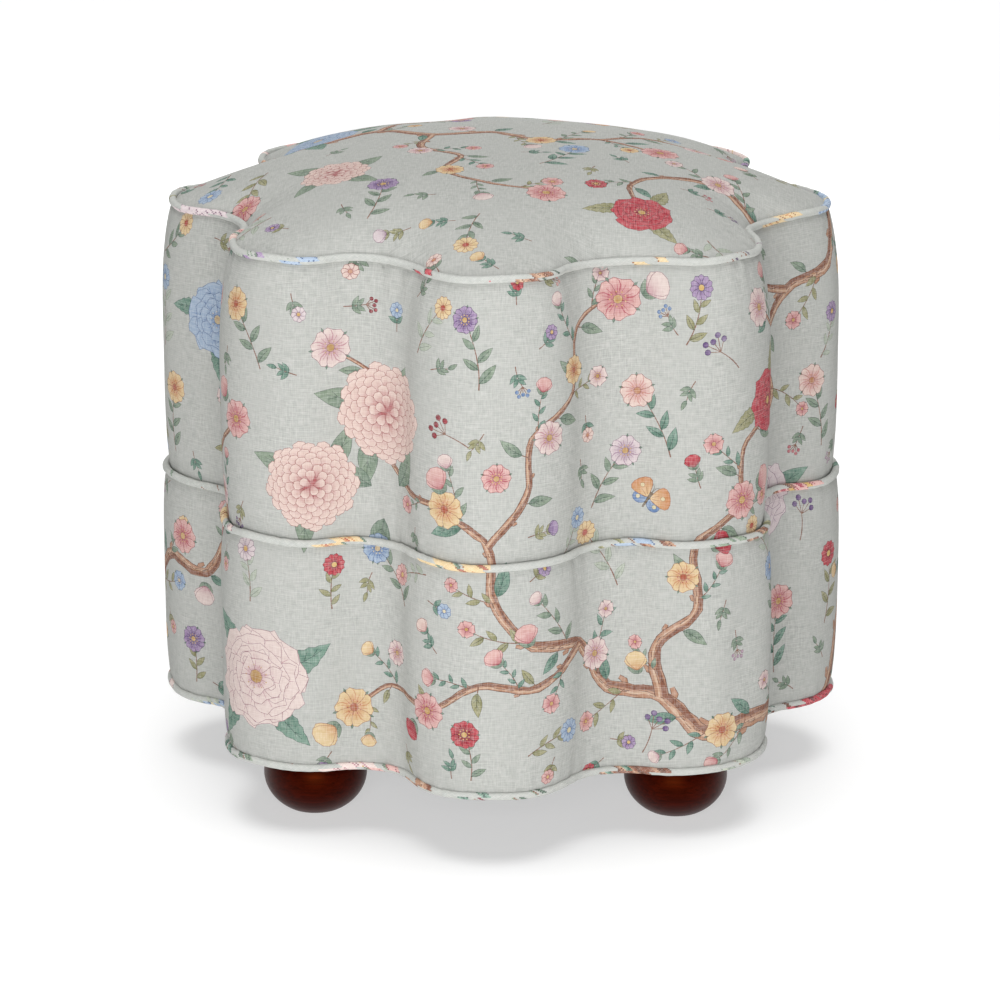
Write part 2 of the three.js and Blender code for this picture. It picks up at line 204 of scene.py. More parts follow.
def upper_wall(at, depth):
    """The same on the upper wall, which is tucked in over the middle piping and draws in to the top one"""
    u, v = at.real, at.imag
    share = v / UPPER_WALL
    tuck = UPPER_TUCK * np.maximum(0, 1 - share / TUCK_SHARE) ** ROUNDNESS
    draw = np.maximum(0, (share - DRAW_SHARE) / (1 - DRAW_SHARE)) ** ROUNDNESS
    pull = SEAM_PULL * np.exp(-(UPPER_WALL - v) / SEAM_PULL_REACH)
    inset = tuck + pull - UPPER_BULGE * (1 - tuck / UPPER_TUCK) + TOP_INSET * draw + depth
    inset = inset + wrinkles(u, v, UPPER_WALL, "upper") + (1 - share) * seam_inset(u, "middle")
    inset = inset + share * (seam_inset(u, "top") - TOP_INSET)
    return raised(plan(u, inset), (1 - share) * seam_height(u, "middle") + share * seam_height(u, "top"))


# The top seam, as places whose directions from the middle go up once round
EDGE_U = np.linspace(-GIRTH / 2, GIRTH / 2, 4001)
EDGE = plan(EDGE_U, TOP_INSET)
EDGE_HEADING = np.unwrap(np.arctan2(EDGE.imag, EDGE.real))
EDGE_R = np.hypot(EDGE.real, EDGE.imag)
MEAN_R = EDGE_R.mean()


def heading_of(at):
    """The direction of a place in plan, from the start of the seam"""
    return EDGE_HEADING[0] + np.mod(np.arctan2(at.imag, at.real) - EDGE_HEADING[0], TURN)


def edge_beyond(at):
    """How far from the middle the top seam is, in the direction of a place in plan"""
    return np.interp(heading_of(at), EDGE_HEADING, EDGE_R)


def crown(at, depth):
    """The seat's top over a place in plan: round in the middle, with lobes that grow towards the seam"""
    heading = heading_of(at)
    edge = edge_beyond(at)
    u = np.interp(heading, EDGE_HEADING, EDGE_U)
    out = np.hypot(at.real, at.imag)
    share = np.clip(out / edge, 0, 1)
    reach = MEAN_R + (edge - MEAN_R) * share**LOBE_FADE
    from_seam = edge * (1 - share)
    aside = out * np.abs(np.sin(np.mod(heading - FRONT, STEP) - STEP / 2))
    valley = VALLEY * np.exp(-aside / VALLEY_WIDTH) * np.exp(-from_seam / VALLEY_REACH)
    folds = FOLD * np.cos(TURN * aside / FOLD_PITCH) * np.exp(-aside / FOLD_SPREAD)
    folds = folds * np.exp(-from_seam / VALLEY_REACH)
    puckers = PUCKER * wave(u, "crown puckers", 60, 130) * np.exp(-from_seam / PUCKER_REACH)
    puckers = puckers * np.clip(from_seam / PUCKER_FADE, 0, 1)
    pull = TOP_PULL * np.exp(-from_seam / SEAM_PULL_REACH)
    swell = TOP_SWELL * wave(u, "crown", 3, 14) * share**2 * (1 - share) ** 1.5 * 4
    z = seam_height(u, "top") * share**SWAY_POWER + TOP_SEAM * (1 - share**SWAY_POWER)
    z = z + CROWN * (1 - np.minimum(1, share * edge / reach) ** CROWN_POWER)
    return raised(at, z - valley - folds - pull + puckers + swell - depth)


def colour(code):
    """A linear colour from an sRGB hex value"""
    parts = [int(code[i : i + 2], 16) / 255 for i in (1, 3, 5)]
    return [c / 12.92 if c <= 0.04045 else ((c + 0.055) / 1.055) ** 2.4 for c in parts]


Shape = namedtuple("Shape", "outline tint heart focus reach")
Green = namedtuple("Green", "light dark ink")
Tones = namedtuple("Tones", "tint heart ink eye deep", defaults=[None])

BARK, BARK_SHADE, BARK_LIGHT, BARK_INK = "#b98a6e", "#8d5944", "#d4b196", "#6c4232"
TWIG = "#8a5c49"
STAMEN = "#a8743f"
BODY, BODY_INK = "#7d6a55", "#4f463f"
SAGE = Green("#8fa08a", "#657c6c", "#4a5c4f")
TEAL = Green("#7d9f8e", "#446d5d", "#34524a")
OLIVE = Green("#aaa67c", "#82825a", "#5a5b3e")
PALE = Green("#bcc3b2", "#a7b1a3", "#8b9488")
LEAVES = [SAGE, TEAL, OLIVE, SAGE, TEAL]
BLUSH = Tones("#e9d5cf", "#bd8290", "#9a6a76", "#c9a564")
LILAC = Tones("#e0d0d3", "#a27f98", "#846579", "#d3aa62")
CRIMSON = Tones("#c4404e", "#7c1528", "#6d1626", "#e2bd74")
ROSE = Tones("#e2b4ae", "#b64a5c", "#96424f", "#d9b36a")
SALMON = Tones("#e9d0c6", "#cd8a86", "#9c5a5a", "#c98e6a", "#b45f62")
OCHRE = Tones("#e6cb9c", "#cc8a58", "#a06845", "#b5483a")
BLUE = Tones("#a9bcd4", "#5f80b2", "#4c6590", "#ded0a8")
PLUM = Tones("#a98fb5", "#5c3b78", "#4a3459", "#d9b36a")

# Widths of the drawn lines
BOLD = 0.45
FINE = 0.35
THIN = 0.3
HAIR = 0.25


def unit(turn):
    """A step of one in a direction"""
    return np.exp(1j * turn)


def ring(count):
    return np.exp(1j * TURN * np.arange(count) / count)


def spun(outline, at, turn, size=1.0):
    """An outline set down at a place, turned and sized"""
    return at + outline * size * complex(math.cos(turn), math.sin(turn))


class Print:
    def __init__(self):
        self.shapes = []
        self.held = np.zeros(0, dtype=complex)
        self.room = np.zeros(0)

    def fill(self, outline, tint, heart=None, focus=0, reach=1.0):
        """One flat shape, whose colour goes from its heart's at the focus to its tint"""
        self.shapes.append(Shape(outline, colour(tint), colour(heart or tint), focus, reach))

    def inked(self, outline, ink, tint, heart=None, focus=0, reach=1.0, line=BOLD):
        """A shape with an inked edge"""
        along = np.roll(outline, -1) - np.roll(outline, 1)
        out = -1j * along / np.maximum(np.abs(along), 1e-6)
        self.fill(outline + line * out, ink)
        self.fill(outline, tint, heart, focus, reach)

    def petal(self, outline, tones, focus, reach, line=FINE):
        self.inked(outline, tones.ink, tones.tint, tones.heart, focus, reach, line)

    def stroke(self, path, ink, start, end):
        """A line that tapers from one width to another"""
        self.fill(ribbon(np.array(path), start, end), ink)

    def reserve(self, at, radius):
        self.held = np.append(self.held, at)
        self.room = np.append(self.room, radius)

    def free(self, at, radius, span):
        """Whether a place has room about it, on cloth whose pattern repeats after a span"""
        apart = self.held - at
        across = np.mod(apart.real + span / 2, span) - span / 2
        return bool(np.all(np.hypot(across, apart.imag) > radius + self.room))


def ribbon(path, start, end, ragged=0.0, seed=0):
    """The outline of a strip along a path"""
    along = np.gradient(path)
    across = 1j * along / np.abs(along)
    rng = random.Random(seed)
    half = np.linspace(start, end, len(path)) / 2
    left = half * (1 + ragged * np.array([rng.uniform(-1, 1) for _ in path]))
    right = half * (1 + ragged * np.array([rng.uniform(-1, 1) for _ in path]))
    return np.concatenate([path - across * right, (path + across * left)[::-1]])


CURVE_STEPS = 6


def smooth(points):
    """A curve through places, with its slope carried on from each to the next"""
    points = np.array(points, dtype=complex)
    ends = np.concatenate([[2 * points[0] - points[1]], points, [2 * points[-1] - points[-2]]])
    t = np.arange(CURVE_STEPS) / CURVE_STEPS
    runs = []
    for a, b, c, d in zip(ends, ends[1:], ends[2:], ends[3:]):
        curve = 2 * b + (c - a) * t + (2 * a - 5 * b + 4 * c - d) * t**2 + (3 * b - a - 3 * c + d) * t**3
        runs.append(0.5 * curve)
    return np.concatenate(runs + [points[-1:]])


def arc(at, turn, length, bend, steps):
    """A bending stem from a place"""
    t = np.linspace(0, 1, steps + 1)
    return spun(length * (t + 1j * bend * t**2), at, turn)


def leaf(cloth, at, turn, length, width, green, bend=0.15, teeth=0):
    """A pointed leaf in two halves, light and dark, with its rib, and its veins where it is large"""
    t = np.linspace(0, 1, 13 if teeth else 9 if length > 16 else 6)
    half = width / 2 * np.sin(math.pi * t**0.8)
    if teeth:
        half = half * (1 - 0.16 * (np.arange(len(t)) % 2))
    spine = length * (t + 1j * bend * t**2)
    lower, rib, upper = (spun(line, at, turn) for line in (spine - 1j * half, spine, spine + 1j * half))
    tip = spun(length * (0.75 + 0.56j * bend), at, turn)
    whole = np.concatenate([lower, upper[-2:0:-1]])
    cloth.inked(whole, green.ink, green.light, green.dark, at, length, 0.32)
    cloth.fill(np.concatenate([lower, rib[-2:0:-1]]), green.dark, green.light, tip, 0.9 * length)
    if length > 12:
        cloth.stroke(rib[:-1:2], green.ink, 0.65, FINE)
    if width > 7:
        for k in range(2, len(t) - 3, 2):
            for edge in (lower, upper):
                end = rib[k] + 0.75 * (edge[min(k + 2, len(t) - 1)] - rib[k])
                cloth.stroke([rib[k], (rib[k] + end) / 2, end], green.ink, BOLD, HAIR)


def petal_outline(points, notch, waist):
    """A petal one long from its foot at 0 to its notched tip"""
    a = np.arange(points) * TURN / points
    out = 0.53 + 0.47 * np.cos(a) - notch * np.exp(-((np.angle(np.exp(1j * a)) / 0.45) ** 2))
    return out + 1j * 0.5 * waist * np.sin(a) * (1.25 + 0.75 * np.cos(a))


def rose(cloth, at, radius, tones, turn):
    """An open flower, five petals over the tips of five sepals"""
    big = radius > 9
    for k in range(5):
        way = turn + TURN * (k + 0.5) / 5
        cloth.fill(spun(petal_outline(6, -0.1, 0.24), at, way, 0.98 * radius), SAGE.dark)
    shape = petal_outline(12 if big else 9, 0.16, 0.68)
    for k in range(5):
        way = turn + TURN * k / 5
        cloth.petal(spun(shape, at, way, radius), tones, at, 0.8 * radius, 0.38)
        if big:
            fold = spun(np.array([0.35, 0.62, 0.8 + 0.1j, 0.86 + 0.2j]), at, way, radius)
            cloth.stroke(fold, tones.heart, 0.9, THIN)
            for side in (-0.3, 0.24):
                ray = np.array([0.3, 0.48, 0.66]) * unit(side)
                cloth.stroke(spun(ray, at, way, radius), tones.heart, 0.55, THIN)
    eye(cloth, at, 0.19 * radius, tones, radius)


def eye(cloth, at, size, tones, reach):
    """A flower's middle, with its ring of stamens where the flower is large"""
    if reach > 8:
        for k in range(9):
            tip = at + 1.75 * size * np.exp(1j * TURN * (k + 0.5) / 9)
            cloth.stroke([at, tip], tones.ink, FINE, THIN)
            cloth.fill(tip + 0.6 * ring(4), tones.eye)
    cloth.inked(at + size * ring(8), tones.ink, tones.eye, STAMEN, at, size * 1.3)


def camellia(cloth, at, radius, tones, turn, rows=((11, 1.0), (10, 0.83), (9, 0.66), (7, 0.49), (5, 0.33))):
    """A full flower of overlapping rows of ruffled petals, each deeper in colour at its foot"""
    rng = random.Random(int(at.real * 7 + at.imag * 13))
    a = np.arange(18) * TURN / 18
    for row, (count, size) in enumerate(rows):
        for k in range(count):
            way = turn + TURN * (k + 0.5 * (row % 2)) / count + rng.uniform(-0.08, 0.08)
            length = radius * size * rng.uniform(0.92, 1.06)
            shape = petal_outline(18, 0.12, 5.6 / count)
            ruffle = 1 + 0.05 * np.cos(6 * a + rng.uniform(0, 3)) * (np.cos(a) > -0.3)
            foot = at + 0.15 * length * unit(way)
            cloth.petal(spun(shape * ruffle, at, way, length), tones, foot, 0.62 * length, 0.36)
            for side in (-0.16, 0.0, 0.14):
                ray = np.array([0.5, 0.66, 0.84 - abs(side)]) * np.exp(1j * side * 4 / count * 3)
                cloth.stroke(spun(ray, at, way, length), tones.heart, 0.6, HAIR)
    eye(cloth, at, 0.12 * radius, tones, radius)


GOLDEN_ANGLE = 2.39996


def mop(cloth, at, radius, tones, count=92):
    """A ball of small quilled petals, the outer ones longest"""
    cloth.fill(at + 0.4 * radius * ring(12), tones.deep)
    for k in range(count):
        out = math.sqrt(1 - k / count)
        way = k * GOLDEN_ANGLE
        length = radius * (0.22 + 0.2 * out)
        shape = petal_outline(9, 0.0, 0.5)
        foot = at + (radius * out - length * (0.5 + 0.5 * out)) * unit(way)
        deep = tones.heart if out > 0.75 else tones.deep
        petal = spun(shape, foot, way + 0.35 * (1 - out), length)
        cloth.inked(petal, tones.ink, tones.tint, deep, foot, 0.85 * length, 0.34)


def daisy(cloth, at, radius, tones, turn, petals=11):
    shape = petal_outline(8, 0.0, 0.33 * 11 / petals)
    for k in range(petals):
        cloth.petal(spun(shape, at, turn + TURN * k / petals, radius), tones, at, 0.6 * radius)
    cloth.inked(at + 0.24 * radius * ring(9), tones.ink, tones.eye, line=0.4)


def bud(cloth, at, size, tones, turn, green=SAGE):
    """A closed flower in its cup of small leaves"""
    for way in (-0.75, 0.75, 0):
        leaf(cloth, at, turn + way, 0.62 * size, 0.26 * size, green)
    shape = petal_outline(12, -0.05, 0.78)
    for side in (-0.22, 0.22, 0.0):
        foot = at + 0.15 * size * unit(turn)
        cloth.petal(spun(shape, foot, turn + side, 0.85 * size * (1 + 0.1 * (side == 0))), tones, at, 0.8 * size)


def berries(cloth, at, turn, size, tones):
    for k, way in enumerate((-0.9, -0.45, 0.0, 0.45, 0.9)):
        tip = at + size * (0.8 + 0.25 * (k % 2)) * unit(turn + way)
        cloth.stroke([at, tip], TWIG, 0.6, 0.5)
        berry = tip + 0.17 * size * ring(8)
        cloth.inked(berry, tones.ink, tones.heart, tones.tint, tip + 0.06 * size, 0.2 * size, THIN)


def butterfly(cloth, at, turn, size, tones, others):
    """Four wings about a slim body, seen from above"""
    a = np.arange(16) * TURN / 16
    fore = 0.55 + 0.45 * np.cos(a) + 1j * 0.34 * np.sin(a) * (1.3 + 0.8 * np.cos(a))
    hind = 0.55 + 0.45 * np.cos(a) + 1j * 0.40 * np.sin(a)
    for side in (1, -1):
        for shape, way, share, inks in ((hind, 1.95, 0.7, others), (fore, 0.95, 1.0, tones)):
            wing = shape if side > 0 else np.conj(shape)[::-1]
            lean = turn + side * way
            long = size * share
            cloth.inked(spun(wing, at, lean, long), inks.ink, inks.heart, inks.tint, at, 0.9 * size * share)
            spot = at + 0.68 * size * share * unit(lean)
            cloth.inked(spot + 0.1 * size * ring(7), inks.ink, others.eye, line=THIN)
            for ray in (-0.25, 0.2):
                vein = long * np.array([0.2, 0.4, 0.55]) * unit(turn + side * (way + ray))
                cloth.stroke(at + vein, inks.ink, 0.4, HAIR)
    body = at + size * np.linspace(-0.5, 0.35, 5) * unit(turn)
    cloth.inked(ribbon(body, 0.05 * size, 0.12 * size), BODY_INK, BODY, line=THIN)
    for side in (0.35, -0.35):
        feeler = np.array([0.35, 0.6 + 0.1j * side, 0.75 + 0.5j * side])
        cloth.stroke(at + size * unit(turn) * feeler, BODY_INK, FINE, THIN)


def sprig(cloth, at, turn, length, bend, green, rng, leaves, size, top, top_size, tones, room):
    """A stem with leaves to left and right by turns, and a flower or bud at its tip"""
    stem = arc(at, turn, length, bend, 10)
    cloth.stroke(stem, TWIG, 1.1 * size, 0.6 * size)
    for k in range(leaves):
        t = (k + 0.8) / (leaves + 0.4)
        place = stem[int(round(t * 10))]
        way = turn + math.atan(2 * bend * t) + (0.8 if k % 2 else -0.8) + rng.uniform(-0.15, 0.15)
        long = length * (0.34 - 0.1 * t) * rng.uniform(0.85, 1.1)
        leaf(cloth, place, way, long, 0.38 * long, green, rng.uniform(-0.2, 0.2))
    top(cloth, stem[-1], top_size, tones, turn + math.atan(2 * bend))
    cloth.reserve(stem[-1], room)
    for place in stem[::3]:
        cloth.reserve(place, 4 * size)


def branch(cloth, points, start, end, seed):
    """A gnarled bough with broken spurs, a light upper side and short strokes of bark"""
    path = smooth(points)
    rng = random.Random(seed)
    path = path + np.array([complex(rng.uniform(-1, 1), rng.uniform(-1, 1)) for _ in path]) * 0.05 * start
    count = len(path)
    across = 1j * np.gradient(path) / np.abs(np.gradient(path))
    width = np.linspace(start, end, count)
    for k in range(3, count - 3, 5):
        side = rng.choice((-1, 1))
        if width[k] > 3.4:
            spur = across[k] * side * width[k] * np.array([0.2, 0.7, 1.1])
            spur = path[k] + spur * np.exp(-1j * side * np.array([0, 0.2, 0.6]))
            cloth.stroke(spur, BARK_INK, 0.62 * width[k] + 0.9, 0.26 * width[k] + 0.9)
            cloth.stroke(spur, BARK, 0.62 * width[k], 0.26 * width[k])
    cloth.fill(ribbon(path, start + 1.2, end + 0.8, 0.16, seed), BARK_INK)
    cloth.fill(ribbon(path, start, end, 0.16, seed), BARK)
    cloth.fill(ribbon(path - across * width * 0.27, start * 0.36, end * 0.36, 0.4, seed + 1), BARK_SHADE)
    cloth.fill(ribbon(path + across * width * 0.2, start * 0.2, end * 0.2, 0.6, seed + 2), BARK_LIGHT)
    for k in range(2, count - 2):
        if width[k] > 3:
            for _ in range(2 + int(width[k] > 7)):
                centre = path[k] + across[k] * rng.uniform(-0.36, 0.3) * width[k]
                step = (path[k + 1] - path[k - 1]) * rng.uniform(0.12, 0.3)
                cloth.stroke([centre - step, centre + across[k] * 0.3, centre + step], BARK_INK, 0.55, HAIR)
    for place in path[::2]:
        cloth.reserve(place, 0.5 * start + 1)
    return path


def leafy(cloth, path, rng, green, first, last, step, long):
    """Leaves to left and right along a bough"""
    for n, k in enumerate(range(first, min(last, len(path) - 2), step)):
        side = 1 if n % 2 else -1
        foot = path[k]
        turn = np.angle(path[k + 1] - path[k - 1]) + side * rng.uniform(0.7, 1.2)
        stalk = foot + 5 * unit(turn)
        cloth.stroke([foot, (foot + stalk) / 2, stalk], TWIG, 1.0, 0.7)
        size = long * rng.uniform(0.8, 1.2)
        leaf(cloth, stalk, turn, size, 0.4 * size, green, rng.uniform(-0.25, 0.25))
        cloth.reserve(stalk + 0.5 * size * unit(turn), 0.42 * size)


def twigs(cloth, path, rng, span, every, long, tops):
    """Thin side shoots with small leaves and a flower or bud, wherever a bough has room beside it"""
    for n, k in enumerate(range(3, len(path) - 2, every)):
        way = np.angle(path[k + 1] - path[k - 1])
        for side in ((1, -1) if n % 2 else (-1, 1)):
            turn = way + side * rng.uniform(0.6, 1.1)
            length = long * rng.uniform(0.8, 1.25)
            tip = path[k] + length * unit(turn - side * 0.1)
            if not (cloth.free(tip, 9, span) and cloth.free(tip - 0.4 * length * unit(turn), 4, span)):
                continue
            tones, size = rng.choice(tops), rng.uniform(5.5, 8.5)
            top, top_size = (rose, size) if rng.random() < 0.6 else (bud, 1.5 * size)
            bend, green = -side * rng.uniform(0.1, 0.3), rng.choice(LEAVES)
            sprig(cloth, path[k], turn, length, bend, green, rng, 5, 0.8, top, top_size, tones, size + 3)
            break


def grow(cloth, boughs, rng, span):
    """Boughs, then the leaves along them, then their twigs"""
    paths = [branch(cloth, points, *widths) for points, widths, _, _ in boughs]
    for path, (_, _, leaves, _) in zip(paths, boughs):
        leafy(cloth, path, rng, *leaves)
    for path, (_, _, _, shoots) in zip(paths, boughs):
        twigs(cloth, path, rng, span, *shoots)


def large_flowers(cloth, rows):
    """Large flowers over the leaves behind them"""
    for places, turns, out, leafage, flowers in rows:
        for place in places:
            for turn in turns:
                leaf(cloth, place + out * unit(turn), turn, *leafage)
        for kind, at, radius, tones, room, *how in flowers:
            kind(cloth, at, radius, tones, *how)
            cloth.reserve(at, room)


def open_flowers(cloth, rows):
    for at, radius, tones, turn in rows:
        rose(cloth, at, radius, tones, turn)
        cloth.reserve(at, radius + 4)


def loose_sprigs(cloth, rows, rng):
    """Sprigs that grow from nothing, each with its own flower"""
    for at, turn, long, bend, green, kind, tones, size in rows:
        sprig(cloth, at, turn, long, bend, green, rng, 6, 0.9, kind, size, tones, size + 3)


TRIES = 60  # places tried for each filler that is wanted


def fillers(cloth, span, low, high, rng, count):
    """Small sprigs and buds wherever the ground is still bare"""
    for _ in range(count * TRIES):
        at = complex(rng.uniform(-span / 2, span / 2), rng.uniform(low, high))
        if not cloth.free(at, 12, span):
            continue
        kind = rng.choice(["sprig", "daisy", "bud", "berries", "sprig"])
        turn = rng.uniform(0, TURN)
        green = rng.choice(LEAVES)
        tones = rng.choice([ROSE, OCHRE, BLUE, LILAC, PLUM, SALMON, CRIMSON])
        stem = arc(at - 9 * unit(turn), turn, 15, rng.uniform(-0.3, 0.3), 5)
        cloth.stroke(stem, TWIG, 0.8, 0.5)
        for side in (-1, 1):
            leaf(cloth, stem[2], turn + 0.9 * side, 8, 3.2, green)
            leaf(cloth, stem[3], turn + 0.7 * side, 7, 2.8, green)
        if kind == "daisy":
            daisy(cloth, stem[-1], 5.5, tones, turn, 8)
        elif kind == "bud":
            bud(cloth, stem[-1], 10, tones, turn, green)
        elif kind == "berries":
            berries(cloth, stem[-1], turn, 7, tones)
        else:
            leaf(cloth, stem[-1], turn, 8, 3, green)
        cloth.reserve(at, 15)
        count -= 1
        if not count:
            return


FULL = ((10, 1.0), (9, 0.8), (8, 0.6), (5, 0.38))
ROUND = ((10, 1.0), (9, 0.78), (7, 0.56), (5, 0.36))
SMALL = ((9, 1.0), (8, 0.78), (7, 0.56), (5, 0.36))

# A bough's places, its widths and seed; its leaves, from where to where, how often and how long; its twigs
WALL_BOUGHS = (
    ([286-6j, 262+26j, 218+34j, 176+30j, 146+58j, 104+66j, 74+104j, 30+112j, 2+146j, -2+186j, -34+212j],
     (14, 4, 3), (TEAL, 12, 60, 9, 22), (5, 34, [ROSE, OCHRE, BLUSH])),
    ([146+58j, 142+96j, 170+124j, 168+168j, 202+196j, 206+238j, 238+262j],
     (8, 2.6, 5), (SAGE, 9, 40, 6, 19), (5, 30, [ROSE, BLUSH])),
    ([74+104j, 34+80j, -8+84j, -46+62j, -92+66j, -120+48j],
     (6, 2.2, 8), (OLIVE, 6, 34, 6, 15), (5, 26, [OCHRE, ROSE])),
    ([-2+186j, 26+222j, 30+262j, 68+290j, 74+330j, 104+352j],
     (5, 2, 9), (SAGE, 5, 34, 5, 17), (5, 26, [BLUSH, ROSE, CRIMSON])),
    ([-446-8j, -434+34j, -418+76j, -384+110j, -344+104j, -314+138j, -270+142j, -244+180j, -250+222j, -214+254j],
     (11, 3, 12), (TEAL, 8, 46, 8, 20), (5, 34, [ROSE, OCHRE, BLUE])),
    ([-314+138j, -302+178j, -322+214j, -302+254j, -326+296j],
     (5, 2, 14), (OLIVE, 5, 26, 5, 15), (5, 26, [BLUSH, PLUM])),
    ([404+380j, 380+338j, 338+324j, 312+286j, 324+246j, 300+210j, 314+172j],
     (9, 2.6, 15), (SAGE, 9, 40, 7, 19), (5, 32, [OCHRE, ROSE, PLUM])),
    ([338+324j, 294+334j, 262+318j, 228+336j], (5, 2, 17), (TEAL, 4, 20, 4, 13), (4, 24, [BLUSH, ROSE])),
    ([-34+212j, -76+218j, -104+250j, -102+288j, -136+312j],
     (4, 1.6, 19), (SAGE, 5, 26, 5, 14), (4, 24, [ROSE, OCHRE])),
)
TOP_BOUGHS = (
    ([-226+60j, -176+74j, -138+50j, -92+62j, -52+34j, -8+42j, 30+16j, 74+24j, 112-2j],
     (13, 3, 31), (TEAL, 9, 52, 7, 20), (5, 32, [ROSE, OCHRE, BLUSH])),
    ([-52+34j, -58-8j, -28-38j, -38-76j, -8-106j, 30-118j],
     (6, 2, 33), (SAGE, 6, 34, 6, 16), (5, 26, [ROSE, BLUSH])),
    ([-92+62j, -78+102j, -34+118j, -14+154j, 30+166j], (6, 2, 35), (OLIVE, 6, 27, 6, 16), (5, 26, [OCHRE, PLUM])),
    ([74+24j, 108+48j, 150+46j, 178+76j], (4, 2, 37), (SAGE, 5, 20, 5, 14), (4, 24, [ROSE, BLUE])),
    ([232-62j, 190-72j, 160-50j, 122-62j, 96-96j, 104-134j],
     (8, 2.5, 39), (TEAL, 6, 34, 6, 16), (5, 28, [BLUSH, ROSE, CRIMSON])),
)

# Places and turns of the leaves, how far out they start and their form; then each flower with its room
WALL_LARGE = (
    ([-196+66j], (0.4, 2.3, 4.0, 5.3), 18, (44, 19, TEAL, 0.15, 1), [(camellia, -196+66j, 42, BLUSH, 46, 0.3)]),
    ([-104+262j, -150+214j, -96+204j], (0.9, 2.6, 4.4), 16, (34, 15, SAGE, 0.2),
     [(mop, -153+214j, 35, SALMON, 43), (mop, -97+268j, 38, SALMON, 46)]),
    ([236+268j], (1.2, 3.4, 5.6), 14, (30, 13, OLIVE, 0.2, 1), [(camellia, 238+268j, 25, CRIMSON, 26, 0.0, SMALL)]),
    ([312+168j], (0.2, 2.0, 3.9), 16, (36, 15, TEAL, 0.2), [(camellia, 312+168j, 32, LILAC, 34, 1.0, FULL)]),
    ([-328+300j], (0.5, 2.9, 4.6), 16, (32, 14, TEAL, 0.2, 1), [(camellia, -330+300j, 29, BLUE, 32, 0.6, ROUND)]),
)
TOP_LARGE = (
    ([-140+78j], (0.4, 1.8, 3.2, 4.7), 18, (40, 17, TEAL, 0.2, 1), [(camellia, -140+80j, 32, BLUE, 38, 0.2)]),
    ([36+172j], (0.0, 2.1, 4.2), 16, (36, 16, SAGE, 0.2), [(camellia, 34+172j, 32, BLUSH, 34, 0.4, FULL)]),
    ([104-136j], (1.0, 3.1, 5.2), 12, (30, 13, OLIVE, 0.2, 1), [(camellia, 104-138j, 23, CRIMSON, 26, 0.0, SMALL)]),
    ([-118-60j], (0.6, 2.4, 3.9, 5.4), 12, (32, 14, SAGE, 0.2), [(mop, -118-60j, 26, SALMON, 32, 70)]),
)

WALL_FLOWERS = (
    (-34+212j, 15, OCHRE, 0.2), (4+236j, 11, ROSE, 0.9), (112+350j, 16, ROSE, 0.1), (70+306j, 11, OCHRE, 0.5),
    (44+262j, 13, BLUSH, 0.0), (206+200j, 15, ROSE, 0.4), (160+148j, 12, OCHRE, 0.0), (-48+60j, 14, ROSE, 0.7),
    (-124+46j, 16, OCHRE, 0.2), (-86+92j, 10, BLUSH, 0.3), (-214+256j, 15, ROSE, 0.3), (-246+196j, 12, BLUSH, 0.9),
    (-300+246j, 12, OCHRE, 0.2), (-366+128j, 14, ROSE, 0.5), (226+338j, 15, BLUSH, 0.2), (268+322j, 11, ROSE, 0.4),
    (296+224j, 12, OCHRE, 0.7), (-138+314j, 15, BLUSH, 0.1), (92+92j, 13, BLUSH, 0.4), (190+30j, 14, OCHRE, 0.3),
)
TOP_FLOWERS = (
    (118-2j, 15, ROSE, 0.2), (30+14j, 12, OCHRE, 0.4), (-30+58j, 11, BLUSH, 0.8), (36-122j, 15, ROSE, 0.5),
    (-34-76j, 11, OCHRE, 0.1), (-34+120j, 12, ROSE, 0.3), (182+78j, 15, OCHRE, 0.2), (146+40j, 11, BLUSH, 0.4),
    (160-46j, 13, BLUSH, 0.0), (196-84j, 11, OCHRE, 0.7), (-190+56j, 12, ROSE, 0.2), (-58-20j, 10, BLUSH, 0.4),
)
WALL_BUDS = (
    (-34+224j, 2.2, 17, ROSE), (128+352j, 0.6, 18, BLUSH), (222+206j, 0.5, 18, ROSE), (-136+34j, 3.8, 18, OCHRE),
    (-226+268j, 2.3, 16, ROSE), (28+112j, 1.9, 15, ROSE), (-262+152j, 1.4, 15, ROSE), (314+132j, 4.4, 17, BLUSH),
    (-60+48j, 4.0, 15, CRIMSON), (128+74j, 1.7, 15, OCHRE), (180+168j, 0.3, 15, CRIMSON),
    (-344+96j, 4.6, 16, BLUSH),
)

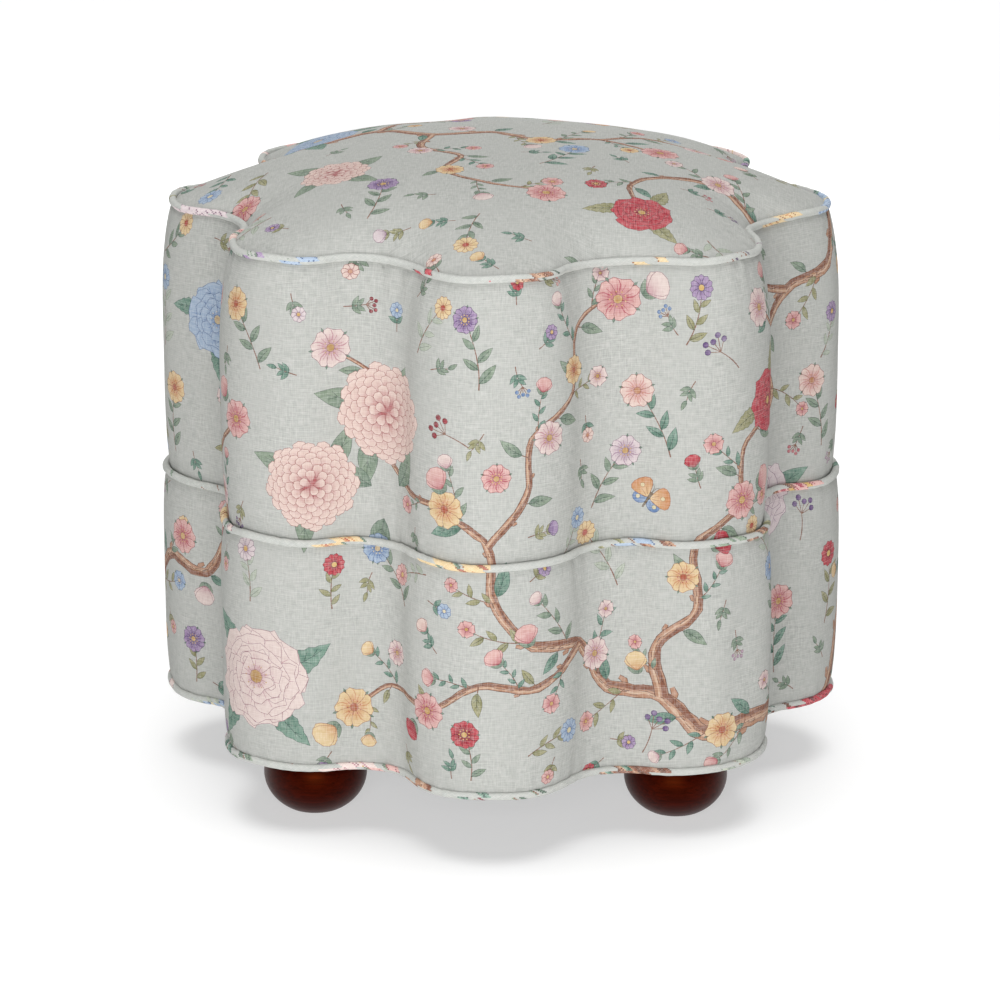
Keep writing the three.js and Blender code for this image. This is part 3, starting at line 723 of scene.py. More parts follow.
# A sprig's place, turn, length, bend and green, and its flower's kind, colours and size
WALL_SPRIGS = (
    (-14+12j, 1.4, 34, 0.3, SAGE, rose, CRIMSON, 11), (26+30j, 0.6, 36, -0.3, OLIVE, daisy, BLUE, 9),
    (112+140j, 1.9, 48, 0.2, PALE, daisy, OCHRE, 9), (92+200j, 1.2, 46, -0.2, SAGE, rose, LILAC, 12),
    (150+236j, 1.8, 52, 0.25, TEAL, rose, SALMON, 13), (160+318j, 1.0, 40, 0.3, OLIVE, daisy, PLUM, 9),
    (-8+300j, 1.5, 48, 0.3, SAGE, rose, PLUM, 10), (-60+320j, 1.3, 40, -0.3, PALE, daisy, OCHRE, 8),
    (-190+296j, 1.9, 50, 0.2, SAGE, rose, OCHRE, 13), (-256+296j, 1.8, 40, -0.3, TEAL, daisy, ROSE, 9),
    (-74+130j, 2.0, 46, 0.3, SAGE, rose, BLUE, 11), (-140+122j, 1.7, 32, -0.2, OLIVE, daisy, CRIMSON, 8),
    (-200+122j, 1.5, 38, 0.2, PALE, daisy, LILAC, 9), (-268+16j, 1.2, 40, 0.2, SAGE, rose, CRIMSON, 12),
    (-356+14j, 1.4, 34, 0.2, OLIVE, rose, PLUM, 11), (-380+190j, 1.7, 50, -0.2, SAGE, rose, OCHRE, 13),
    (-392+270j, 1.3, 50, 0.3, PALE, daisy, BLUE, 10), (242+96j, 1.3, 44, 0.3, SAGE, rose, BLUE, 11),
    (240+150j, 2.0, 34, 0.2, PALE, daisy, OCHRE, 8), (330+30j, 1.7, 54, -0.2, TEAL, rose, ROSE, 14),
    (378+60j, 1.2, 52, 0.3, OLIVE, daisy, CRIMSON, 10), (374+200j, 1.6, 52, 0.2, SAGE, rose, SALMON, 13),
    (370+268j, 0.9, 34, 0.3, PALE, daisy, PLUM, 8), (-50+160j, 3.2, 30, 0.2, PALE, daisy, ROSE, 8),
    (60+170j, 0.7, 30, 0.3, PALE, daisy, BLUE, 8), (-400+340j, 0.5, 40, 0.2, SAGE, daisy, OCHRE, 9),
)
TOP_SPRIGS = (
    (-90-150j, 1.2, 50, 0.2, SAGE, rose, PLUM, 12), (-170-20j, 4.2, 44, 0.2, OLIVE, rose, ROSE, 12),
    (30-60j, 0.8, 52, 0.3, TEAL, rose, BLUE, 12), (-10-160j, 4.3, 40, 0.2, SAGE, daisy, OCHRE, 9),
    (90+90j, 1.3, 50, 0.2, OLIVE, rose, CRIMSON, 12), (-120+160j, 1.2, 44, -0.2, SAGE, rose, OCHRE, 12),
    (-200+10j, 4.6, 40, -0.2, TEAL, daisy, BLUE, 9), (30+80j, 1.0, 40, 0.3, PALE, daisy, ROSE, 9),
    (150+120j, 0.8, 44, 0.3, SAGE, daisy, LILAC, 10), (62-190j, 4.4, 36, 0.2, SAGE, daisy, SALMON, 9),
    (200+10j, 0.3, 36, 0.3, OLIVE, daisy, PLUM, 9), (-190+150j, 2.0, 40, 0.3, SAGE, daisy, ROSE, 9),
    (-66+190j, 1.2, 34, 0.3, PALE, daisy, BLUE, 8), (150-160j, 5.2, 36, 0.3, PALE, daisy, OCHRE, 8),
    (-60-200j, 3.9, 30, 0.2, SAGE, daisy, CRIMSON, 8), (-160-120j, 3.6, 40, 0.2, PALE, rose, BLUSH, 10),
)


def wall_print(height):
    """One repeat of the border's pattern, as high as both walls"""
    cloth = Print()
    rng = random.Random(11)
    for at, radius in ((-196+66j, 50), (-152+218j, 44), (-98+268j, 46), (238+268j, 30), (312+168j, 38),
                       (-330+300j, 36), (-64+40j, 12), (148+196j, 12)):
        cloth.reserve(at, radius)
    grow(cloth, WALL_BOUGHS, rng, REPEAT)
    large_flowers(cloth, WALL_LARGE)
    open_flowers(cloth, WALL_FLOWERS)
    for at, turn, long, tones in WALL_BUDS:
        bud(cloth, at, long, tones, turn)
        cloth.reserve(at + 0.5 * long * unit(turn), 0.6 * long)
    loose_sprigs(cloth, WALL_SPRIGS, rng)
    for at, turn, size, tones, others in ((134+204j, 1.0, 16, OCHRE, BLUE), (-306+76j, 2.4, 15, PLUM, ROSE)):
        butterfly(cloth, at, turn, size, tones, others)
        cloth.reserve(at, size + 3)
    for at, turn in ((352+130j, 1.3), (132+14j, 1.0), (-14+258j, 2.5), (200+298j, 2.2)):
        stem = arc(at, turn, 20, 0.2, 5)
        cloth.stroke(stem, TWIG, 0.9, 0.6)
        berries(cloth, stem[-1], turn, 12, PLUM if at.real > 0 else CRIMSON)
        cloth.reserve(stem[-1], 12)
    fillers(cloth, REPEAT, 0, height, rng, 60)
    return cloth.shapes


def top_print():
    """The seat panel's pattern, laid out from its middle"""
    cloth = Print()
    rng = random.Random(23)
    for at, radius in ((-140+80j, 42), (34+172j, 40), (104-138j, 30), (-118-60j, 34)):
        cloth.reserve(at, radius)
    grow(cloth, TOP_BOUGHS, rng, 4 * PLAN_R)
    large_flowers(cloth, TOP_LARGE)
    open_flowers(cloth, TOP_FLOWERS)
    loose_sprigs(cloth, TOP_SPRIGS, rng)
    butterfly(cloth, 66+116j, 0.6, 15, OCHRE, PLUM)
    cloth.reserve(66+116j, 18)
    fillers(cloth, 2 * PLAN_R, -PLAN_R, PLAN_R, rng, 46)
    return cloth.shapes


# Printed cloth: the pattern's outlines are cut into the cloth's own mesh, so its edges are sharp at any distance
AT_ONCE = 200000  # comparisons made together, which keeps the memory small
SAME_PLACE = 1e-4
ON_LINE = 0.001
FINE_STEPS = 1000  # steps to a millimetre where places are compared
PIGMENT = 0.82  # how much of its light a colour keeps when it is dry on the cloth
SLOPE_STEP = 0.05


def triangulated(points, edges):
    """Triangles between points that keep to the edges"""
    places = [Vector((p.real, p.imag)) for p in points]
    flat, _, faces, _, _, _ = geometry.delaunay_2d_cdt(places, edges, [], 0, SAME_PLACE, False)
    return np.array([complex(*p) for p in flat]), np.array([f for f in faces if len(f) == 3])


def covers(line, at):
    """Which places a closed line surrounds"""
    to = np.roll(line, -1)
    lean = (to.real - line.real) / np.where(to.imag == line.imag, 1, to.imag - line.imag)
    found = []
    step = max(1, AT_ONCE // len(line))
    for first in range(0, len(at), step):
        here = at[first : first + step, None]
        level = (line.imag > here.imag) != (to.imag > here.imag)
        crossed = level & (here.real < line.real + (here.imag - line.imag) * lean)
        found.append(crossed.sum(axis=1) % 2 == 1)
    return np.concatenate(found)


def owners(at, shapes):
    """Which shape is on top at each place, or -1 on the bare ground"""
    order = np.argsort(at.real)
    at = at[order]
    owner = np.full(len(at), -1)
    for number, shape in enumerate(shapes):
        line = shape.outline
        first, last = np.searchsorted(at.real, (line.real.min(), line.real.max()))
        up = at.imag[first:last]
        near = first + np.flatnonzero((up > line.imag.min()) & (up < line.imag.max()))
        if len(near):
            owner[order[near[covers(line, at[near])]]] = number
    return owner


def borders_between(faces, owner):
    """The edges with a different shape on either side"""
    sides = np.concatenate([faces[:, [0, 1]], faces[:, [1, 2]], faces[:, [2, 0]]])
    whose = np.tile(owner, 3)
    sides.sort(axis=1)
    order = np.lexsort((sides[:, 1], sides[:, 0]))
    sides, whose = sides[order], whose[order]
    same = np.all(sides[1:] == sides[:-1], axis=1) & (whose[1:] != whose[:-1])
    return sides[1:][same]


def looped(points, first=0):
    """The edges of a closed line of points"""
    count = len(points)
    return [(first + i, first + (i + 1) % count) for i in range(count)]


def along_border(points, border):
    """How far round a closed line each point lies, in steps of the line, or -1 off the line"""
    run = np.roll(border, -1) - border
    found = []
    step = max(1, AT_ONCE // len(border))
    for first in range(0, len(points), step):
        start = points[first : first + step, None] - border
        share = np.clip((start * run.conj()).real / np.abs(run) ** 2, 0, 1)
        off = np.abs(start - run * share)
        nearest = off.argmin(axis=1)
        here = np.arange(len(nearest)), nearest
        found.append(np.where(off[here] < ON_LINE, nearest + share[here], -1))
    return np.concatenate(found) if found else np.zeros(0)


def inside(points, faces, border):
    """The faces that a closed line surrounds"""
    return faces[covers(border, points[faces].mean(axis=1))]


def cut_cloth(shapes, border, spread):
    """A flat piece of cloth with shapes cut into it: points, faces and the shape that each face shows"""
    parts, edges, count = [border], looped(border), len(border)
    for shape in shapes:
        parts.append(shape.outline)
        edges += looped(shape.outline, count)
        count += len(shape.outline)
    points, faces = triangulated(np.concatenate(parts), edges)
    border = border.astype(np.complex64).astype(complex)
    faces = inside(points, faces, border)
    owner = owners(points[faces].mean(axis=1), shapes)
    seen = borders_between(faces, owner)
    used, lines = np.unique(seen, return_inverse=True)
    lines = lines.reshape(-1, 2)

    # points of the pattern's lines that lie on the border become corners of it
    round_at = np.concatenate([np.arange(len(border)), along_border(points[used], border)])
    kept = np.concatenate([border, points[used]])
    order = np.argsort(round_at, kind="stable")
    order = order[round_at[order] >= 0]
    outline = kept[order]
    edges = [(int(order[i]), int(order[(i + 1) % len(order)])) for i in range(len(order))]
    points, faces = triangulated(np.concatenate([kept, spread]), edges + (lines + len(border)).tolist())
    faces = inside(points, faces, outline)
    return points, faces, owners(points[faces].mean(axis=1), shapes)


def rim(faces):
    """The vertices round a flat piece of cloth, in order"""
    sides = {(a, b) for face in faces.tolist() for a, b in zip(face, face[1:] + face[:1])}
    after = {a: b for a, b in sides if (b, a) not in sides}
    line = [next(iter(after))]
    while line[-1] in after:
        line.append(after.pop(line[-1]))
    return line[:-1]


def dyes(points, faces, owner, shapes):
    """Each face corner's colour: the dye of the shape that it shows, with no cover on the bare ground"""
    dye = np.zeros((len(faces), 3, 4))
    printed = owner >= 0
    if printed.any():
        worn = owner[printed]
        tint = np.array([shape.tint for shape in shapes])[worn][:, None]
        heart = np.array([shape.heart for shape in shapes])[worn][:, None]
        focus = np.array([shape.focus for shape in shapes], dtype=complex)[worn][:, None]
        reach = np.array([shape.reach for shape in shapes], dtype=float)[worn][:, None]
        share = np.clip(np.abs(points[faces[printed]] - focus) / reach, 0, 1)[..., None]
        dye[printed, :, :3] = (heart + (tint - heart) * share) * PIGMENT
        dye[printed, :, 3] = 1
    return dye


def weld(points):
    """One number for each place, so that edges that meet are closed"""
    fine = np.round(points * FINE_STEPS).astype(np.int64)
    _, first, same = np.unique(fine, axis=0, return_index=True, return_inverse=True)
    return points[first], same.reshape(-1)


def new_piece(name, points, faces):
    mesh = bpy.data.meshes.new(name)
    mesh.from_pydata((points * MM).tolist(), [], faces.tolist() if hasattr(faces, "tolist") else faces)
    mesh.update()
    mesh.shade_smooth()
    piece = bpy.data.objects.new(name, mesh)
    bpy.context.collection.objects.link(piece)
    return piece


def print_on(piece, dye, cloth):
    """Gives each corner of a piece its dye and its place on the flat cloth"""
    tints = piece.data.color_attributes.new("print", "FLOAT_COLOR", "CORNER")
    tints.data.foreach_set("color", dye.reshape(-1))
    flat = piece.data.uv_layers.new(name="cloth")
    flat.data.foreach_set("uv", np.stack([cloth.real, cloth.imag], axis=-1).reshape(-1) * MM)


def sewn_cloth(name, panels, surface, lining_depth, grid):
    """A cover of fabric thickness: flat panels laid on a surface, each with its lining, closed along their rims"""
    places, faces, dye, cloth, ways = [], [], [], [], []
    count = 0
    for points, tris, colours, shift in panels:
        line = rim(tris)
        back, back_tris = triangulated(np.concatenate([points[line], grid]), looped(line))
        back_tris = inside(back, back_tris, points[line])
        flats = ((points, tris, 0.0, colours), (back, back_tris[:, ::-1], 1.0, np.zeros((len(back_tris), 3, 4))))
        for flat, flat_tris, deep, tones in flats:
            here = flat + shift
            depth = lining_depth(flat) * deep
            aside, above = (surface(here + step, depth) - surface(here - step, depth)
                            for step in (SLOPE_STEP, 1j * SLOPE_STEP))
            way = np.cross(aside, above) * (1 - 2 * deep)
            ways.append(way / np.linalg.norm(way, axis=1)[:, None])
            places.append(surface(here, depth))
            faces.append(flat_tris + count)
            dye.append(tones)
            cloth.append(here[flat_tris])
            count += len(flat)
    faces, dye, cloth = np.concatenate(faces), np.concatenate(dye), np.concatenate(cloth)
    ways = np.concatenate(ways)[faces]
    places, same = weld(np.concatenate(places))
    faces = same[faces]
    whole = (faces[:, 0] != faces[:, 1]) & (faces[:, 1] != faces[:, 2]) & (faces[:, 2] != faces[:, 0])
    faces, dye, cloth, ways = faces[whole], dye[whole], cloth[whole], ways[whole]
    piece = new_piece(name, places, faces)
    print_on(piece, dye, cloth)
    piece.data.normals_split_custom_set(ways.reshape(-1, 3).tolist())
    return piece


COLUMNS = 52  # columns of the cloth's mesh on each lobe
CROWDING = 0.35  # the columns draw together towards the cusps
EDGE_ROWS = [0.9, 2.0, 3.4, 5.2, 7.6, 11.0, 15.0]
TOP_ROWS = EDGE_ROWS + [20.0, 26.0, 33.0]
ROW = 5.0
ROW_GAP = 4  # between the last row by the top seam and the grid inside it
SPARSE_MARGIN = 30  # the top panel's lining has a coarser grid, this far in from the seam
RIM_RISE = 2  # a lining comes up to its panel over this width by the rim
RIM_FLAT = 0.1  # the top panel's lining lies on it for this width


def columns(first, last):
    """Places along a seam, from cusp or tip to cusp or tip, that stand closer at the cusps"""
    share = np.arange(round((last - first) / PITCH * COLUMNS)) / COLUMNS + first / PITCH
    return PITCH * (share + CROWDING * np.sin(TURN * share) / TURN)


def wall_rows(height):
    """Heights of a wall's points, which stand closer at its seams"""
    last = EDGE_ROWS[-1]
    even = np.linspace(last, height - last, round((height - 2 * last) / ROW) + 1)
    return np.concatenate([EDGE_ROWS[:-1], even, [height - row for row in EDGE_ROWS[-2::-1]]])


def square_grid(apart):
    """Places all over the tuffet's plan"""
    line = np.arange(-PLAN_R, PLAN_R, apart)
    return (line[:, None] + 1j * line).reshape(-1)


def shifted(shapes, low, high, shift=0):
    """The shapes that lie at least partly between two corners, with their copies a repeat to either side"""
    found = []
    for shape in shapes:
        for way in (-REPEAT, 0, REPEAT):
            line = shape.outline + way + shift
            if (line.real.max() > low.real and line.real.min() < high.real
                    and line.imag.max() > low.imag and line.imag.min() < high.imag):
                found.append(shape._replace(outline=line, focus=shape.focus + way + shift))
    return found


def border_cover(name, wall, height, shapes):
    """One printed wall of the cover: the repeat of the pattern is cut once and goes twice round"""
    low, high = complex(-REPEAT / 2, 0), complex(REPEAT / 2, height)
    across = columns(-REPEAT / 2, REPEAT / 2)
    up = wall_rows(height)
    border = np.concatenate([across, high.real + 1j * np.concatenate([[0], up]),
                             -across + 1j * height, low.real + 1j * np.concatenate([[height], up[::-1]])])
    spread = (across[1:][:, None] + 1j * up).reshape(-1)

    points, faces, owner = cut_cloth(shapes, border, spread)
    for edge in (low.real, high.real):
        here = np.abs(points.real - edge) < 2 * ON_LINE
        points[here] = edge + 1j * np.round(points[here].imag, 2)
    for edge in (0, height):
        here = np.abs(points.imag - edge) < 2 * ON_LINE
        points[here] = points[here].real + 1j * edge
    dye = dyes(points, faces, owner, shapes)

    def lining_depth(at):
        return FABRIC * np.clip(np.minimum(at.imag, height - at.imag) / RIM_RISE, 0, 1)

    grid = (across[1::2][:, None] + 1j * up[1::2]).reshape(-1)
    panels = [(points, faces, dye, 0), (points, faces, dye, REPEAT)]
    return sewn_cloth(name, panels, wall, lining_depth, grid)


def top_panel(shapes):
    """The printed panel over the crown, with its pattern laid out in plan"""
    across = columns(-GIRTH / 2, GIRTH / 2)
    edge = plan(across, TOP_INSET)
    rings = [edge * (1 - row / np.abs(edge)) for row in TOP_ROWS]
    grid = square_grid(ROW)
    margin = edge_beyond(grid) - np.abs(grid)
    spread = np.concatenate(rings + [grid[margin > TOP_ROWS[-1] + ROW_GAP]])
    points, faces, owner = cut_cloth(shapes, edge, spread)

    def lining_depth(at):
        return FABRIC * np.clip((edge_beyond(at) - np.abs(at) - RIM_FLAT) / RIM_RISE, 0, 1)

    sparse = np.concatenate([rings[1], rings[4][::2], rings[7][::4], grid[margin > SPARSE_MARGIN][::3]])
    panel = (points, faces, dyes(points, faces, owner, shapes), 0)
    return sewn_cloth("top_panel", [panel], crown, lining_depth, sparse)


def settle(piece, material, cad):
    """Hangs a finished piece on the tuffet in place of the node that it stands for"""
    piece.data.materials.clear()
    piece.data.materials.append(material)
    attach(piece, "root")
    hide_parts(cad)
    return piece


def lofted(name, rings, capped):
    """A solid through closed rings that go up its outside: a band, or with both ends closed on the middle"""
    count = len(rings[0])
    points = np.concatenate(rings)
    here = np.arange(count)
    after = np.roll(here, -1)
    faces = []
    for j in range(len(rings) - (1 if capped else 0)):
        a, b = j * count, (j + 1) % len(rings) * count
        faces += np.stack([a + here, a + after, b + after, b + here], axis=-1).tolist()
    if capped:
        low, high, end = len(points), len(points) + 1, (len(rings) - 1) * count
        points = np.concatenate([points, [rings[0].mean(0), rings[-1].mean(0)]])
        faces += [(low, n, i) for i, n in zip(here.tolist(), after.tolist())]
        faces += [(high, end + i, end + n) for i, n in zip(here.tolist(), after.tolist())]
    return new_piece(name, points, faces)


PIPING_SIDES = 16
CORD_STEPS = 1280
CORD_UNEVEN = 0.025
SLEEVE = TURN * PIPING  # the width of the cloth round the cord
EIGHTH = TURN / 8


def piping(seam, shapes):
    """A cord in a bias-cut sleeve of the same cloth, on which the pattern shows as short fragments"""
    u = np.arange(CORD_STEPS) * GIRTH / CORD_STEPS
    rings = []
    thick = PIPING * (1 + CORD_UNEVEN * wave(u, seam + " thickness", 60, 200))
    for turn in np.arange(PIPING_SIDES) * TURN / PIPING_SIDES:
        rings.append(raised(plan(u, seam_inset(u, seam) - thick * math.cos(turn)),
                            seam_height(u, seam) + thick * math.sin(turn)))
    piece = lofted(seam + "_cord", rings, False)

    around = (np.arange(PIPING_SIDES)[:, None] + 0.5) * SLEEVE / PIPING_SIDES
    sleeve = ((u + GIRTH / CORD_STEPS / 2)[None, :] + 1j * around).reshape(-1)
    start = random.Random(seam + " sleeve").uniform(0, REPEAT)
    bias = start + (sleeve.real + sleeve.imag) * np.exp(1j * EIGHTH)
    within = np.mod(bias.real, REPEAT) - REPEAT / 2 + 1j * np.mod(bias.imag, LOWER_WALL + UPPER_WALL)
    shown = owners(within, shapes)
    dye = np.zeros((len(sleeve), 4))
    dye[shown >= 0, :3] = np.array([shape.tint for shape in shapes])[shown[shown >= 0]]
    dye[shown >= 0, 3] = 1
    corner = (GIRTH / CORD_STEPS + 1j * SLEEVE / PIPING_SIDES) / 2
    corners = sleeve[:, None] + np.array([-corner, corner.conjugate(), corner, -corner.conjugate()])
    print_on(piece, np.repeat(dye, 4, axis=0), corners * np.exp(-1j * EIGHTH))
    return piece


PAD_COLUMNS = np.arange(416) * GIRTH / 416
UNDER_COVER = FABRIC + CLEAR
WADDING = 5.0
LOWER_WADDING = 10.0
UPPER_FOAM = 22.0
SEAM_CLEAR = PIPING + CLEAR


def wall_rings(wall, low, high, depth, count):
    return [wall(PAD_COLUMNS + 1j * v, depth) for v in np.linspace(low, high, count)]


def flat_rings(inset, heights):
    return [raised(plan(PAD_COLUMNS, inset), z) for z in heights]


def crown_rings(depth, inset, count):
    return [crown(plan(PAD_COLUMNS, inset) * share, depth) for share in np.linspace(1, 0.02, count)]


def wall_padding(name, wall, low, high, inset):
    """The padding of one wall, shaped as the cover over it and straight against the card"""
    outside = wall_rings(wall, low, high, UNDER_COVER, 36)
    top, bottom = outside[-1][:, 2].max(), outside[0][:, 2].min()
    return lofted(name, outside + flat_rings(inset, np.linspace(top, bottom, 8)), False)


def seat_padding():
    """The seat's foam block and the wadding wrapped over it"""
    low = node_box("seat_board")[1][2] + CLEAR - MIDDLE_SEAM
    high = UPPER_WALL - SEAM_CLEAR
    edge = TOP_INSET + SEAM_CLEAR + CLEAR
    under = UNDER_COVER + WADDING
    rings = crown_rings(under, edge + WADDING, 40)[::-1]
    rings += wall_rings(upper_wall, low, high - WADDING, under, 16)[::-1]
    rings += wall_rings(upper_wall, low, high, UNDER_COVER, 16)
    rings += crown_rings(UNDER_COVER, edge, 48)
    wrap = lofted("seat_wrap", rings, True)
    inner = under + CLEAR
    rings = wall_rings(upper_wall, low, high - WADDING - CLEAR, inner, 16)
    rings += crown_rings(inner, edge + WADDING + CLEAR, 40)
    flat = [rings[0] * np.array([share, share, 1]) for share in np.linspace(0.03, 0.97, 8)]
    return wrap, lofted("seat_block", flat + rings, True)


BOLT = 4.0
DUST_ROW = 9.0
DUST_THICK = 0.4
DUST_SAG = 0.5
SAG_CLEAR = 36  # the cloth lies flat this near a foot's middle, and goes slack over the next stretch
FOOT_FADE = 50
EDGE_FADE = 60
OUTSIDE_SEAM = 7  # the base's edge lies about this far beyond the top seam
RIPPLE = 31
RIPPLE_BEND = 47
FEET = [complex(*middle("bun_foot_%d" % i)[:2]) for i in range(1, 5)]


def plain(lines):
    return [Shape(line, None, None, 0, 1) for line in lines]


def dust_sheet():
    """The black cloth stretched under the base, with a hole at each foot's bolt"""
    edge = plan(columns(-GIRTH / 2, GIRTH / 2)[::2], SEAM_CLEAR)
    holes = [foot + (BOLT + CLEAR) * ring(24) for foot in FEET]
    grid = square_grid(DUST_ROW)
    grid = grid[owners(grid, plain([edge * 0.97] + [foot + DUST_ROW * ring(16) for foot in FEET])) == 0]
    edges, count = looped(edge), len(edge)
    for hole in holes:
        edges += looped(hole, count)
        count += len(hole)
    points, faces = triangulated(np.concatenate([edge] + holes + [grid]), edges)
    faces = faces[owners(points[faces].mean(axis=1), plain([edge] + holes)) == 0]
    near = np.min([np.abs(points - foot) for foot in FEET], axis=0)
    border = edge_beyond(points) + OUTSIDE_SEAM - np.abs(points)
    slack = np.clip((near - SAG_CLEAR) / FOOT_FADE, 0, 1) * np.clip(border / EDGE_FADE, 0, 1)
    ripple = 0.5 + 0.5 * np.sin(points.real / RIPPLE + 2 * np.sin(points.imag / RIPPLE_BEND))
    under = raised(points, node_box("dust_cover")[0][2] + DUST_SAG - DUST_SAG * slack * ripple)
    sides = [(a, b) for face in faces.tolist() for a, b in zip(face, face[1:] + face[:1])]
    held = set(sides)
    count = len(points)
    walls = [(b, a, a + count, b + count) for a, b in sides if (b, a) not in held]
    tris = faces[:, ::-1].tolist() + (faces + count).tolist() + walls
    return new_piece("dust_sheet", np.concatenate([under, under + np.array([0, 0, DUST_THICK])]), tris)


FOOT_R = 38.1
FOOT_HALF = 31.7
FOOT_WAIST = 27.0
FOOT_TOP = node_box("bun_foot_1")[1][2]
FOOT_EDGE = 1.2
FOOT_SIDES, FOOT_RINGS = 72, 48
BORE_SIDES = 32
SHARP = math.radians(40)  # edges of the foot that turn more than this stay sharp
BORE_BOTTOM = node_box("hanger_bolt_1")[0][2] - CLEAR
OVERRUN = 10


def select_rim(mesh, heights):
    """Selects the edges of the flats at these heights, and nothing else"""
    bpy.ops.mesh.select_all(action="DESELECT")
    form = bmesh.from_edit_mesh(mesh)
    form.select_mode = {"EDGE"}
    for edge in form.edges:
        flat = any(abs(face.normal.z) > 0.999 and len(face.verts) > 8 for face in edge.link_faces)
        level = any(all(abs(vert.co.z / MM - height) < 0.01 for vert in edge.verts) for height in heights)
        edge.select_set(flat and level)
    form.select_flush_mode()
    bmesh.update_edit_mesh(mesh)


def bun_foot():
    """A turned foot: a squashed ball cut flat at the floor and the base, drilled for its bolt"""
    bpy.ops.object.select_all(action="DESELECT")
    bpy.ops.mesh.primitive_uv_sphere_add(segments=FOOT_SIDES, ring_count=FOOT_RINGS, radius=FOOT_R * MM)
    foot = bpy.context.object
    bpy.ops.object.mode_set(mode="EDIT")
    bpy.ops.mesh.select_all(action="SELECT")
    bpy.ops.transform.resize(value=(1, 1, FOOT_HALF / FOOT_R), center_override=(0, 0, 0))
    bpy.ops.transform.translate(value=(0, 0, FOOT_WAIST * MM))
    for height, up in ((0.0, False), (FOOT_TOP, True)):
        bpy.ops.mesh.select_all(action="SELECT")
        cut = {"plane_co": (0, 0, height * MM), "plane_no": (0, 0, 1), "use_fill": True}
        bpy.ops.mesh.bisect(clear_inner=not up, clear_outer=up, **cut)
    select_rim(foot.data, (0.0, FOOT_TOP))
    bpy.ops.mesh.bevel(offset=FOOT_EDGE * MM, segments=4, profile=0.5)
    bpy.ops.object.mode_set(mode="OBJECT")
    deep = FOOT_TOP - BORE_BOTTOM + OVERRUN
    centre = (FOOT_TOP + BORE_BOTTOM + OVERRUN) / 2
    bpy.ops.mesh.primitive_cylinder_add(vertices=BORE_SIDES, radius=(BOLT + CLEAR) * MM, depth=deep * MM,
                                        location=(0, 0, centre * MM))
    drill = bpy.context.object
    bore = foot.modifiers.new("bore", "BOOLEAN")
    bore.operation, bore.object, bore.solver = "DIFFERENCE", drill, "EXACT"
    bpy.context.view_layer.objects.active = foot
    bpy.ops.object.modifier_apply(modifier="bore")
    bpy.data.objects.remove(drill)
    bpy.ops.object.select_all(action="DESELECT")
    foot.select_set(True)
    bpy.context.view_layer.objects.active = foot
    bpy.ops.object.shade_smooth_by_angle(angle=SHARP)
    return foot


def turned_feet():
    first = bun_foot()
    for i, place in enumerate(FEET, 1):
        foot = first if i == len(FEET) else first.copy()
        if foot != first:
            foot.data = first.data.copy()
            bpy.context.collection.objects.link(foot)
        foot.name = "turned_foot_%d" % i
        x, y = place.real * MM, place.imag * MM
        grain = Matrix.Rotation(math.atan2(y, x) + i, 4, "Z")
        foot.data.transform(Matrix.Translation((x, y, 0)) @ grain)
        settle(foot, mahogany, "bun_foot_%d" % i)


def node(tree, kind, inputs=(), **settings):
    """A node with its settings and its inputs, which are links or values

    A range's inputs 1 to 4 are what it goes from and to; a mix's 0 is the share of its colour 7 over its colour 6.
    """
    made = tree.nodes.new(kind)
    for key, value in settings.items():
        setattr(made, key, value)
    for key, value in dict(inputs).items():
        if isinstance(value, bpy.types.NodeSocket):
            tree.links.new(value, made.inputs[key])
        else:
            made.inputs[key].default_value = value
    return made


def finish(name, **values):
    """A new material, its node tree and its shader, with the shader's own values"""
    material = bpy.data.materials.new(name)
    material.use_nodes = True
    tree = material.node_tree
    shader = tree.nodes["Principled BSDF"]
    for key, value in values.items():
        shader.inputs[key.replace("_", " ").title().replace("Ior", "IOR")].default_value = value
    return material, tree, shader


def paint(code):
    return (*colour(code), 1)


# Threads lie about 0.7 mm apart in such a linen; they are drawn at twice that, which is the finest that shows here
THREAD = 0.0014
SLUB = 0.009
RELIEF = 0.0006
PORE = 0.0004
MOTTLE = 22.0
BAND = 0.1 * math.pi  # a wave texture's bands repeat after this length at scale 1


